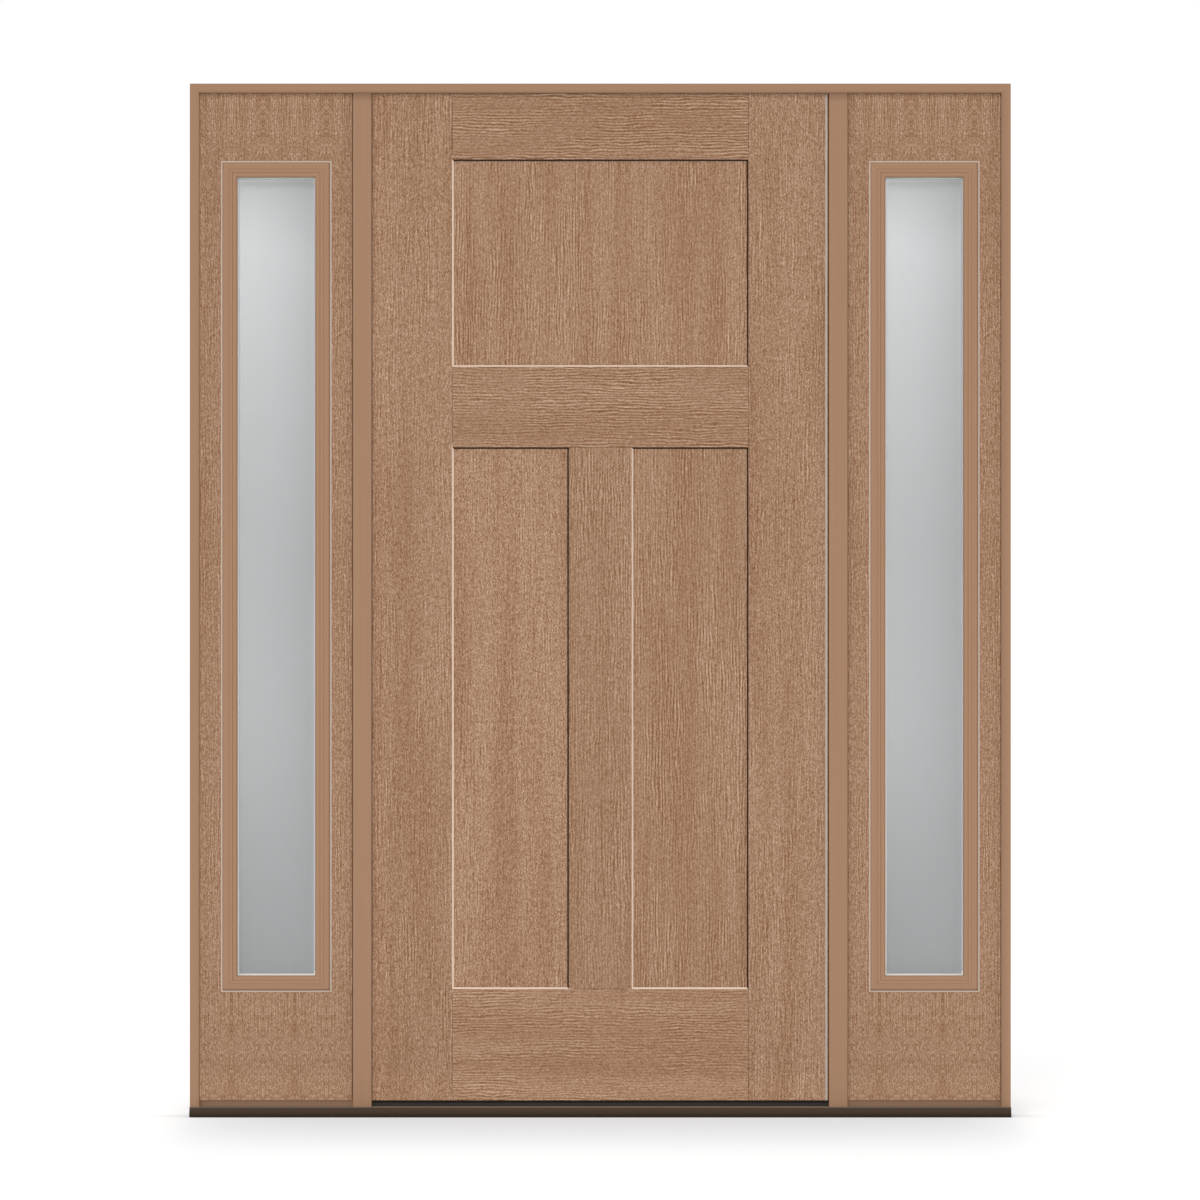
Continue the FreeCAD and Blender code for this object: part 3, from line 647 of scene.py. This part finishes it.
def smooth_finish(name, color, along, shades=()):
    """Each shade is (axis, edge, reach, share): painted shade, this share of the stain dark at that
    edge.
    """
    finish, tree, shader, place = new_finish(name)
    streak_size = laid(along == "Z", STREAK_THIN, STREAK_THIN, STREAK_LONG)
    streak = stretched_noise(tree, place, streak_size, 3.0)
    dim = seen_color(*(channel - STREAK_STEP for channel in color))
    bright = seen_color(*(channel + STREAK_STEP for channel in color))
    stain = mix_color(tree, streak, dim, bright)
    parts = split(tree, place)
    for axis, edge, reach, share in shades:
        distance = math_node(tree, "SUBTRACT", parts[axis], edge)
        distance = math_node(tree, "ABSOLUTE", distance)
        dark = between(tree, distance, 0.0, reach, share, 0.0)
        dark = math_node(tree, "MULTIPLY", dark, faces_out(tree))
        stain = mix_color(tree, dark, stain, seen_color(*PAINTED_SHADE))
    tree.links.new(stain, shader.inputs["Base Color"])
    roughness = between(tree, streak, *NOISE_RANGE, *SMOOTH_ROUGHNESS)
    tree.links.new(roughness, shader.inputs["Roughness"])
    add_bump(tree, shader, stretched_noise(tree, place, SPECK, 1.0), *SMOOTH_BUMP)
    return finish


# %% [markdown]
# ## Frame, mouldings and strips
# The frame and the mouldings have nearly the same brown. Shade is painted on the frame at the
# opening and under the head, and on the outside mouldings on their right and at their bottom. The
# strips under the sidelights are a deeper brown, and the one on the edge of the leaf is pale.

# %% Smooth pieces
FRAME_BROWN = (166, 132, 107)
MOULDING_BROWN = (170, 135, 109)
STRIP_BROWN = (149, 119, 98)
EDGE_PALE = (190, 178, 166)
head_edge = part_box("head_jamb")[0].z
# Each row paints shade along one edge of the outside face.
frame_stains_and_shades = (
    ("head_stain_and_shade", "X", ("Z", head_edge, 0.009, 0.12), ["head_jamb"]),
    ("left_jamb_stain_and_shade", "Z", ("X", left_side, 0.009, 0.1), ["left_jamb"]),
    ("right_jamb_stain_and_shade", "Z", ("X", right_side, 0.015, 0.17), ["right_jamb"]),
    ("mullion_stain_and_shadow", "Z", ("Z", head_edge, 0.021, 0.33), ["hinge_mullion", "latch_mullion"]),
)
for name, along, shade, names in frame_stains_and_shades:
    use_finish(smooth_finish(name, FRAME_BROWN, along, [shade]), *names)
inside_moulding = smooth_finish("inside_moulding_stain", MOULDING_BROWN, "Z")
for hand in ("left", "right"):
    use_finish(inside_moulding, f"{hand}_lite_frame_inside")
    low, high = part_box(f"{hand}_lite_frame_outside")
    # Painted shade on the right and bottom outside edges.
    moulding_shades = [("X", high.x, 0.006, 0.3), ("Z", low.z, 0.006, 0.5)]
    outside_moulding = smooth_finish(f"{hand}_moulding_stain", MOULDING_BROWN, "Z", moulding_shades)
    use_finish(outside_moulding, f"{hand}_lite_frame_outside")
strip_stain = smooth_finish("strip_stain", STRIP_BROWN, "X")
use_finish(strip_stain, "left_sidelight_sill_strip", "right_sidelight_sill_strip")
use_finish(smooth_finish("pale_edge", EDGE_PALE, "Z"), "latch_edge_strip")

# %% [markdown]
# ## Clear glass
# Each sidelight has two panes. The outer one is clear, with a slow ripple in its gloss.

# %% Clear panes
RIPPLE = (0.3, 0.3, 0.5)
CLEAR_TINT = (0.97, 0.985, 0.98, 1.0)
CLEAR_ROUGHNESS = (0.0, 0.02)
CLEAR_ALPHA = 0.2
GLASS_IOR = 1.5

clear_glass, tree, shader, place = new_finish("clear_glass")
shader.inputs["Base Color"].default_value = CLEAR_TINT
shader.inputs["Transmission Weight"].default_value = 1.0
shader.inputs["IOR"].default_value = GLASS_IOR
shader.inputs["Alpha"].default_value = CLEAR_ALPHA
ripple = stretched_noise(tree, place, RIPPLE, 1.0)
tree.links.new(between(tree, ripple, 0.0, 1.0, *CLEAR_ROUGHNESS), shader.inputs["Roughness"])
use_finish(clear_glass, "left_outer_glass", "right_outer_glass")

# %% [markdown]
# ## Light on the satin glass
# The inner pane is satin glass, which shows nothing through it. A soft bright area, a painted
# reflection, lies high on its left and fades slowly downward and quickly upward. On the outside
# painted light makes its sides and top paler, which makes up for the shade of the moulding round it.
# All of this is read from the place on the pane, so it is part of the glass and stays when the view
# changes.

# %% Glow and pale edges
# The painted reflection, and painted light at the pane's edges.
GLOW_HEIGHT = 1.475
GLOW_ABOVE, GLOW_BELOW = 0.235, 0.6
GLOW_TILT = 0.055
GLOW_FADE = 1.4
GLOW_LEFT, GLOW_RIGHT = 0.9, 0.3
GLOW_CLOUD = (0.1, 0.1, 0.25)
GLOW_CLOUD_RANGE = (0.2, 0.8)
GLOW_CLOUD_SHARE = (0.92, 1.0)
EDGE_REACH = 0.023
SIDE_LIFT, TOP_LIFT = 1.27, 1.8
WIDE_REACH = 0.06
WIDE_LIFT = 1.06


def painted_reflection(tree, place, across, height):
    """How much of the painted reflection is seen, by height and by the share of the way across."""
    tilted = math_node(tree, "MULTIPLY_ADD", across, GLOW_TILT, height)
    rising = between(tree, tilted, GLOW_HEIGHT - GLOW_BELOW, GLOW_HEIGHT, smooth=False)
    rising = math_node(tree, "POWER", rising, GLOW_FADE)
    falling = between(tree, tilted, GLOW_HEIGHT, GLOW_HEIGHT + GLOW_ABOVE, 1.0, 0.0)
    glow = math_node(tree, "MULTIPLY", rising, falling)
    sideways = between(tree, across, 0.0, 1.0, GLOW_LEFT, GLOW_RIGHT, smooth=False)
    cloud = stretched_noise(tree, place, GLOW_CLOUD, 2.0)
    soft = between(tree, cloud, *GLOW_CLOUD_RANGE, *GLOW_CLOUD_SHARE)
    soft = math_node(tree, "MULTIPLY", sideways, soft)
    return math_node(tree, "MULTIPLY", glow, soft)


def painted_edge_light(tree, parts, low, high):
    """How many times brighter painted light makes the pane near its sides and top, outside only."""
    half = (high.x - low.x) / 2
    from_middle = math_node(tree, "SUBTRACT", parts["X"], (low.x + high.x) / 2)
    from_middle = math_node(tree, "ABSOLUTE", from_middle)
    at_side = between(tree, from_middle, half - EDGE_REACH, half, 1.0, SIDE_LIFT)
    wide = between(tree, from_middle, half - WIDE_REACH, half, 1.0, WIDE_LIFT)
    at_side = math_node(tree, "MULTIPLY", at_side, wide)
    at_top = between(tree, parts["Z"], high.z - EDGE_REACH, high.z, 1.0, TOP_LIFT)
    lift = math_node(tree, "MULTIPLY", at_side, at_top)
    return math_node(tree, "POWER", lift, faces_out(tree))


# %% [markdown]
# ## Satin glass
# Under that light the pane itself is gray; the painted reflection makes it darker toward the bottom
# and a little toward the right. A very fine noise frosts its gloss.

# %% Satin panes
PANE_LIGHT = 1.17
PANE_LEFT, PANE_RIGHT = 190, 173
PANE_BOTTOM = 162
PANE_BOTTOM_REACH = 0.6
PANE_GLOW = 222
COOL_GREEN, COOL_BLUE = 2, 3
FROST = (0.0008, 0.0008, 0.0008)
FROST_ROUGHNESS = (0.32, 0.42)


def pane_gray(level):
    """A gray with a touch of blue, under the light that reaches the inner pane."""
    return seen_color(level, level + COOL_GREEN, level + COOL_BLUE, PANE_LIGHT)


def satin_glass(name, low, high):
    finish, tree, shader, place = new_finish(name)
    parts = split(tree, place)
    across = between(tree, parts["X"], low.x, high.x, smooth=False)
    height = math_node(tree, "SUBTRACT", parts["Z"], low.z)
    gray = mix_color(tree, across, pane_gray(PANE_LEFT), pane_gray(PANE_RIGHT))
    upper = between(tree, height, 0.0, PANE_BOTTOM_REACH)
    gray = mix_color(tree, upper, pane_gray(PANE_BOTTOM), gray)
    glow = painted_reflection(tree, place, across, height)
    gray = mix_color(tree, glow, gray, pane_gray(PANE_GLOW))
    lift = painted_edge_light(tree, parts, low, high)
    gray = mix_color(tree, 1.0, gray, joined(tree, X=lift, Y=lift, Z=lift), "MULTIPLY")
    tree.links.new(gray, shader.inputs["Base Color"])
    frost = stretched_noise(tree, place, FROST, 1.0)
    roughness = between(tree, frost, *NOISE_RANGE, *FROST_ROUGHNESS)
    tree.links.new(roughness, shader.inputs["Roughness"])
    return finish


for hand in ("left", "right"):
    low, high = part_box(f"{hand}_inner_glass")
    pane = satin_glass(f"{hand}_satin_glass", low, high)
    use_finish(pane, f"{hand}_inner_glass")

# %% [markdown]
# ## Bronze sill
# The tread of the sill is bronze, darker toward the ground by painted shade and with a painted
# highlight along its top, with fine lines along it. It gets a little less light than the front
# faces, and its gloss is low.

# %% Bronze tread
BRONZE_LIGHT = 1.42
BRONZE_LIFT = 0.011
# Painted shade toward the foot, and a painted highlight along the top.
BRONZE_FOOT = (45, 38, 32)
BRONZE_CROWN = (81, 69, 60)
BRONZE_STREAK = (67, 56, 49)
BRONZE_HIGHLIGHT = (146, 131, 117)
BRONZE_LINES = (0.4, 0.0012, 0.0012)
BRONZE_STREAK_SHARE = 0.25
BRONZE_GLOSS = 0.12
BRONZE_ROUGHNESS = (0.45, 0.6)
TREAD_RISE = (0.001, 0.018)
TREAD_TOP = (0.0185, 0.0199)
LINE_BUMP = (0.15, 0.0001)


def bronze_color(color):
    return seen_color(*color, BRONZE_LIGHT, BRONZE_LIFT)


bronze, tree, shader, place = new_finish("bronze_tread")
lines = stretched_noise(tree, place, BRONZE_LINES, 3.0)
height = split(tree, place)["Z"]
rise = between(tree, height, *TREAD_RISE, smooth=False)
tone = mix_color(tree, rise, bronze_color(BRONZE_FOOT), bronze_color(BRONZE_CROWN))
tone = mix_color(tree, between(tree, height, *TREAD_TOP), tone, bronze_color(BRONZE_HIGHLIGHT))
streaks = between(tree, lines, *NOISE_RANGE, 0.0, BRONZE_STREAK_SHARE)
tone = mix_color(tree, streaks, tone, bronze_color(BRONZE_STREAK))
tree.links.new(tone, shader.inputs["Base Color"])
shader.inputs["Specular IOR Level"].default_value = BRONZE_GLOSS
roughness = between(tree, lines, *NOISE_RANGE, *BRONZE_ROUGHNESS)
tree.links.new(roughness, shader.inputs["Roughness"])
add_bump(tree, shader, lines, *LINE_BUMP)
use_finish(bronze, "sill_tread")

# %% [markdown]
# ## Hinge steel
# The hinges are brushed steel, brushed upright as the knuckles are rolled.

# %% Brushed steel
STEEL_DIM = (0.42, 0.41, 0.39, 1.0)
STEEL_BRIGHT = (0.58, 0.57, 0.55, 1.0)
STEEL_LINES = (0.0006, 0.0006, 0.02)
STEEL_ROUGHNESS = (0.25, 0.4)
HINGES = ("upper", "middle", "lower")
HINGE_PIECES = ("frame_leaf", "door_leaf", "pin")

brushed_steel, tree, shader, place = new_finish("brushed_steel")
brushed = stretched_noise(tree, place, STEEL_LINES, 3.0)
tone = mix_color(tree, brushed, STEEL_DIM, STEEL_BRIGHT)
tree.links.new(tone, shader.inputs["Base Color"])
roughness = between(tree, brushed, *NOISE_RANGE, *STEEL_ROUGHNESS)
tree.links.new(roughness, shader.inputs["Roughness"])
shader.inputs["Metallic"].default_value = 1.0
add_bump(tree, shader, brushed, *LINE_BUMP)
for hinge in HINGES:
    use_finish(brushed_steel, *(f"{hinge}_hinge_{piece}" for piece in HINGE_PIECES))

# %% [markdown]
# ## Rubber and foam
# The threshold bar and the seal under the leaf are black rubber with a dull bloom, and the weather
# seals are brown foam. The core of the sill hardly shows and gets a gray finish of the same kind.

# %% Rubber finishes
BLOOM = (0.03, 0.006, 0.006)
RUBBER_PORE = (0.0006, 0.0006, 0.0006)
RUBBER_ROUGHNESS = (0.55, 0.75)
RUBBER_BUMP = (0.3, 0.0002)
BLACKS = ((65, 62, 59), (77, 73, 69))
FOAM_BROWNS = ((70, 56, 46), (84, 68, 56))
CORE_GRAYS = ((96, 92, 86), (112, 107, 100))


def rubber_finish(name, colors):
    finish, tree, shader, place = new_finish(name)
    bloom = stretched_noise(tree, place, BLOOM, 4.0)
    dim, bright = (seen_color(*color) for color in colors)
    tree.links.new(mix_color(tree, bloom, dim, bright), shader.inputs["Base Color"])
    roughness = between(tree, bloom, *NOISE_RANGE, *RUBBER_ROUGHNESS)
    tree.links.new(roughness, shader.inputs["Roughness"])
    add_bump(tree, shader, stretched_noise(tree, place, RUBBER_PORE, 1.0), *RUBBER_BUMP)
    return finish


use_finish(rubber_finish("black_rubber", BLACKS), "threshold_bar", "door_bottom_seal")
seal_foam = rubber_finish("brown_foam", FOAM_BROWNS)
use_finish(seal_foam, "hinge_weatherstrip", "latch_weatherstrip", "head_weatherstrip")
use_finish(rubber_finish("sill_core", CORE_GRAYS), "sill_base")

# %% [markdown]
# ## Spacer bars
# The bar between the panes shows as a thin line behind the clear glass. Light is painted on it: it
# is bright along the bottom and pale on the left and the top, and on the right it has the gray of
# the glass. A few comparisons of place, on the bar itself, choose between the three tones.

# %% Spacer finish
BAR_SHOWN = 0.016
BAR_LIGHT = 0.81
# Painted light: a tone for each side of the bar.
BAR_RIGHT = (174, 175, 175)
BAR_LEFT_AND_TOP = (194, 193, 190)
BAR_BOTTOM = (212, 210, 207)
BAR_DULL = (170, 170, 168)
BAR_DULL_SHARE = 0.2
BAR_LUMP = (0.004, 0.004, 0.004)
BAR_ROUGHNESS = (0.4, 0.5)


def bar_color(color):
    return seen_color(*color, BAR_LIGHT)


def spacer_finish(name, low, high):
    finish, tree, shader, place = new_finish(name)
    parts = split(tree, place)
    at_left = math_node(tree, "LESS_THAN", parts["X"], low.x + BAR_SHOWN)
    at_top = math_node(tree, "GREATER_THAN", parts["Z"], high.z - BAR_SHOWN)
    at_left_or_top = math_node(tree, "MAXIMUM", at_left, at_top)
    at_bottom = math_node(tree, "LESS_THAN", parts["Z"], low.z + BAR_SHOWN)
    tone = mix_color(tree, at_left_or_top, bar_color(BAR_RIGHT), bar_color(BAR_LEFT_AND_TOP))
    tone = mix_color(tree, at_bottom, tone, bar_color(BAR_BOTTOM))
    rolled = stretched_noise(tree, place, BAR_LUMP, 3.0)
    dull = between(tree, rolled, *NOISE_RANGE, 0.0, BAR_DULL_SHARE)
    tone = mix_color(tree, dull, tone, bar_color(BAR_DULL))
    tree.links.new(tone, shader.inputs["Base Color"])
    roughness = between(tree, rolled, *NOISE_RANGE, *BAR_ROUGHNESS)
    tree.links.new(roughness, shader.inputs["Roughness"])
    add_bump(tree, shader, rolled, *LINE_BUMP)
    return finish


for hand in ("left", "right"):
    low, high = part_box(f"{hand}_glass_spacer")
    use_finish(spacer_finish(f"{hand}_spacer_bar", low, high), f"{hand}_glass_spacer")

# %% [markdown]
# ## Sealant round the lite frames
# A pale line of sealant fills the corner where the outside lite frame meets the slab. It is a
# hollow quarter round with mitred corners. Each point of its section, given as the way out from the
# frame and up from the slab, becomes a rectangle of four corners. So a few lines of code make the
# whole ring, and the faces between neighbouring rectangles close it.

# %% Sealant rings
BEAD_SECTION = (
    (-0.0005, 0.0),
    (0.0028, 0.0),
    (0.0027, 0.0006),
    (0.0017, 0.0010),
    (0.0008, 0.0018),
    (-0.0005, 0.0024),
)
SEALANT_TONES = ((206, 188, 172), (216, 199, 184))


def sealant_ring(name, low, high, face):
    points = []
    for out, up in BEAD_SECTION:
        left, right = low.x - out, high.x + out
        bottom, top = low.z - out, high.z + out
        for x, z in ((left, bottom), (right, bottom), (right, top), (left, top)):
            points.append((x, face - up, z))
    faces = []
    count = len(BEAD_SECTION)
    for row in range(count):
        above = (row + 1) % count
        for corner in range(4):
            after = (corner + 1) % 4
            faces.append((row * 4 + corner, row * 4 + after, above * 4 + after, above * 4 + corner))
    mesh = bpy.data.meshes.new(name)
    mesh.from_pydata(points, [], faces)
    ring = bpy.data.objects.new(name, mesh)
    bpy.context.collection.objects.link(ring)
    return ring


sealant = rubber_finish("pale_sealant", SEALANT_TONES)
slab_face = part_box("left_sidelight_slab")[0].y
for hand in ("left", "right"):
    low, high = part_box(f"{hand}_lite_frame_outside")
    ring = sealant_ring(f"{hand}_lite_sealant", low, high, slab_face)
    ring.data.materials.append(sealant)
    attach(ring, "frame")
    print(ring.name, len(ring.data.polygons), "faces")

# %% [markdown]
# ## Domed heads
# The hinge plates are held by countersunk screws with a cross recess, and the inside lite frames by
# screws under round plugs. Both repeat one small domed shape, so a node tree sets it on every point
# of a mesh. The tree flattens a ball into a dome, cuts the cross where there is one, turns every
# copy to face the right way, and turns it by a seeded random angle, as no fitter lines screws up.

# %% Node tree for domed heads
HEAD_INPUTS = {
    "Places": "Geometry",
    "Radius": "Float",
    "Rise": "Float",
    "Facing": "Vector",
    "Seed": "Int",
    "Finish": "Material",
}
HEAD_SEGMENTS, HEAD_RINGS = 28, 12
CROSS_LONG, CROSS_WIDE = 1.1, 0.24


def cut_cross(tree, dome, radius, rise):
    long_way = math_node(tree, "MULTIPLY", radius, CROSS_LONG)
    short_way = math_node(tree, "MULTIPLY", radius, CROSS_WIDE)
    cut = add_node(tree, "GeometryNodeMeshBoolean", {"Mesh 1": dome}, operation="DIFFERENCE")
    for x, y in ((long_way, short_way), (short_way, long_way)):
        size = joined(tree, X=x, Y=y, Z=rise)
        bar = add_node(tree, "GeometryNodeMeshCube", {"Size": size}).outputs["Mesh"]
        raised = {"Geometry": bar, "Translation": joined(tree, Z=rise)}
        bar = add_node(tree, "GeometryNodeTransform", raised).outputs[0]
        tree.links.new(bar, cut.inputs["Mesh 2"])
    return cut.outputs["Mesh"]


def domed_head_tree(name, with_cross):
    tree = bpy.data.node_groups.new(name, "GeometryNodeTree")
    for label, kind in HEAD_INPUTS.items():
        tree.interface.new_socket(label, in_out="INPUT", socket_type=f"NodeSocket{kind}")
    tree.interface.new_socket("Heads", in_out="OUTPUT", socket_type="NodeSocketGeometry")
    given = tree.nodes.new("NodeGroupInput").outputs
    ball = {"Segments": HEAD_SEGMENTS, "Rings": HEAD_RINGS, "Radius": given["Radius"]}
    dome = add_node(tree, "GeometryNodeMeshUVSphere", ball).outputs["Mesh"]
    flat = math_node(tree, "DIVIDE", given["Rise"], given["Radius"])
    squeezed = {"Geometry": dome, "Scale": joined(tree, X=1.0, Y=1.0, Z=flat)}
    dome = add_node(tree, "GeometryNodeTransform", squeezed).outputs[0]
    if with_cross:
        dome = cut_cross(tree, dome, given["Radius"], given["Rise"])
    spin = {3: math.tau, "Seed": given["Seed"]}
    spin = add_node(tree, "FunctionNodeRandomValue", spin).outputs[1]
    turns = {"Rotation": given["Facing"], "Rotate By": joined(tree, Z=spin)}
    turned = add_node(tree, "FunctionNodeRotateRotation", turns, rotation_space="LOCAL").outputs[0]
    heads = {"Points": given["Places"], "Instance": dome, "Rotation": turned}
    copies = add_node(tree, "GeometryNodeInstanceOnPoints", heads).outputs[0]
    solid = add_node(tree, "GeometryNodeRealizeInstances", {"Geometry": copies}).outputs[0]
    dressed = {"Geometry": solid, "Material": given["Finish"]}
    dressed = add_node(tree, "GeometryNodeSetMaterial", dressed).outputs[0]
    add_node(tree, "NodeGroupOutput", {"Heads": dressed})
    return tree


screw_tree = domed_head_tree("hinge_screw", True)
plug_tree = domed_head_tree("lite_plug", False)
print("trees", screw_tree.name, "and", plug_tree.name)

# %% [markdown]
# ## From places to heads
# A mesh with only points carries the tree as a modifier. What the tree makes is then kept as a
# plain mesh, and the modifier goes.

# %% Heads on places
def heads_on(name, tree, places, sizes):
    """Set one head on every place, and keep the result as a plain mesh."""
    mesh = bpy.data.meshes.new(f"{name}_places")
    mesh.from_pydata(places, [], [])
    piece = bpy.data.objects.new(name, mesh)
    bpy.context.collection.objects.link(piece)
    modifier = piece.modifiers.new("heads", "NODES")
    modifier.node_group = tree
    for item in tree.interface.items_tree:
        if item.name in sizes:
            modifier[item.identifier] = sizes[item.name]
    piece.update_tag()
    made = piece.evaluated_get(bpy.context.evaluated_depsgraph_get())
    solid = bpy.data.meshes.new_from_object(made)
    piece.modifiers.clear()
    piece.data = solid
    print(name, len(places), "heads,", len(solid.polygons), "faces")
    return piece


# %% [markdown]
# ## Hinge screws
# Each hinge plate has four screws in a zigzag, kept away from the plate's edges. The plates on the
# frame face right and those on the leaf face left, so the two groups are two pieces and each rides
# on its own body.

# %% Screws on the hinge plates
SCREW_ROWS = (0.13, 0.37, 0.63, 0.87)
SCREW_INSET = (0.009, 0.021)
SCREW = {"Radius": 0.0040, "Rise": 0.0006, "Seed": 7, "Finish": brushed_steel}
FACING_RIGHT = (0.0, math.pi / 2, 0.0)
FACING_LEFT = (0.0, -math.pi / 2, 0.0)
FRAME_PLATE_FACE = -0.469
FRAME_PLATE_FRONT, LEAF_PLATE_FRONT = 0.002, -0.002


def screw_places(piece, face_x, front_y):
    places = []
    for hinge in HINGES:
        low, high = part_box(f"{hinge}_hinge_{piece}")
        for row, share in enumerate(SCREW_ROWS):
            z = low.z + share * (high.z - low.z)
            places.append((face_x, front_y + SCREW_INSET[row % 2], z))
    return places


leaf_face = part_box("hinge_stile")[0].x
frame_places = screw_places("frame_leaf", FRAME_PLATE_FACE, FRAME_PLATE_FRONT)
leaf_places = screw_places("door_leaf", leaf_face, LEAF_PLATE_FRONT)
groups = (
    ("frame_hinge_screws", frame_places, FACING_RIGHT, "frame"),
    ("leaf_hinge_screws", leaf_places, FACING_LEFT, "leaf"),
)
for name, places, facing, body in groups:
    screws = heads_on(name, screw_tree, places, {**SCREW, "Facing": facing})
    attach(screws, body)

# %% [markdown]
# ## Plugs
# The plugs sit on the flat step of the inside lite frames: six up each side, and one in the middle
# of the top and of the bottom. They have the finish of the moulding.

# %% Plugs on the inside lite frames
FACING_IN = (-math.pi / 2, 0.0, 0.0)
PLUG = {"Radius": 0.0027, "Rise": 0.0004, "Facing": FACING_IN, "Seed": 3, "Finish": inside_moulding}
PLUG_STEP = 0.02395
PLUG_FACE = 0.003
PLUG_ROWS = 6
PLUG_END = 0.25


def plug_places(low, high):
    left, right = low.x + PLUG_STEP, high.x - PLUG_STEP
    bottom, top = low.z + PLUG_STEP, high.z - PLUG_STEP
    face = high.y - PLUG_FACE
    places = [((left + right) / 2, face, z) for z in (bottom, top)]
    for row in range(PLUG_ROWS):
        share = (row + PLUG_END) / (PLUG_ROWS - 1 + 2 * PLUG_END)
        z = bottom + share * (top - bottom)
        places += [(x, face, z) for x in (left, right)]
    return places


for hand in ("left", "right"):
    places = plug_places(*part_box(f"{hand}_lite_frame_inside"))
    plugs = heads_on(f"{hand}_lite_plugs", plug_tree, places, PLUG)
    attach(plugs, "frame")

# %% [markdown]
# ## Sizes
# The box of all that is there now, without the floor, is worked out. The dressed door may be no
# larger than the solid model.

# %% Sizes
low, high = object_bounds()
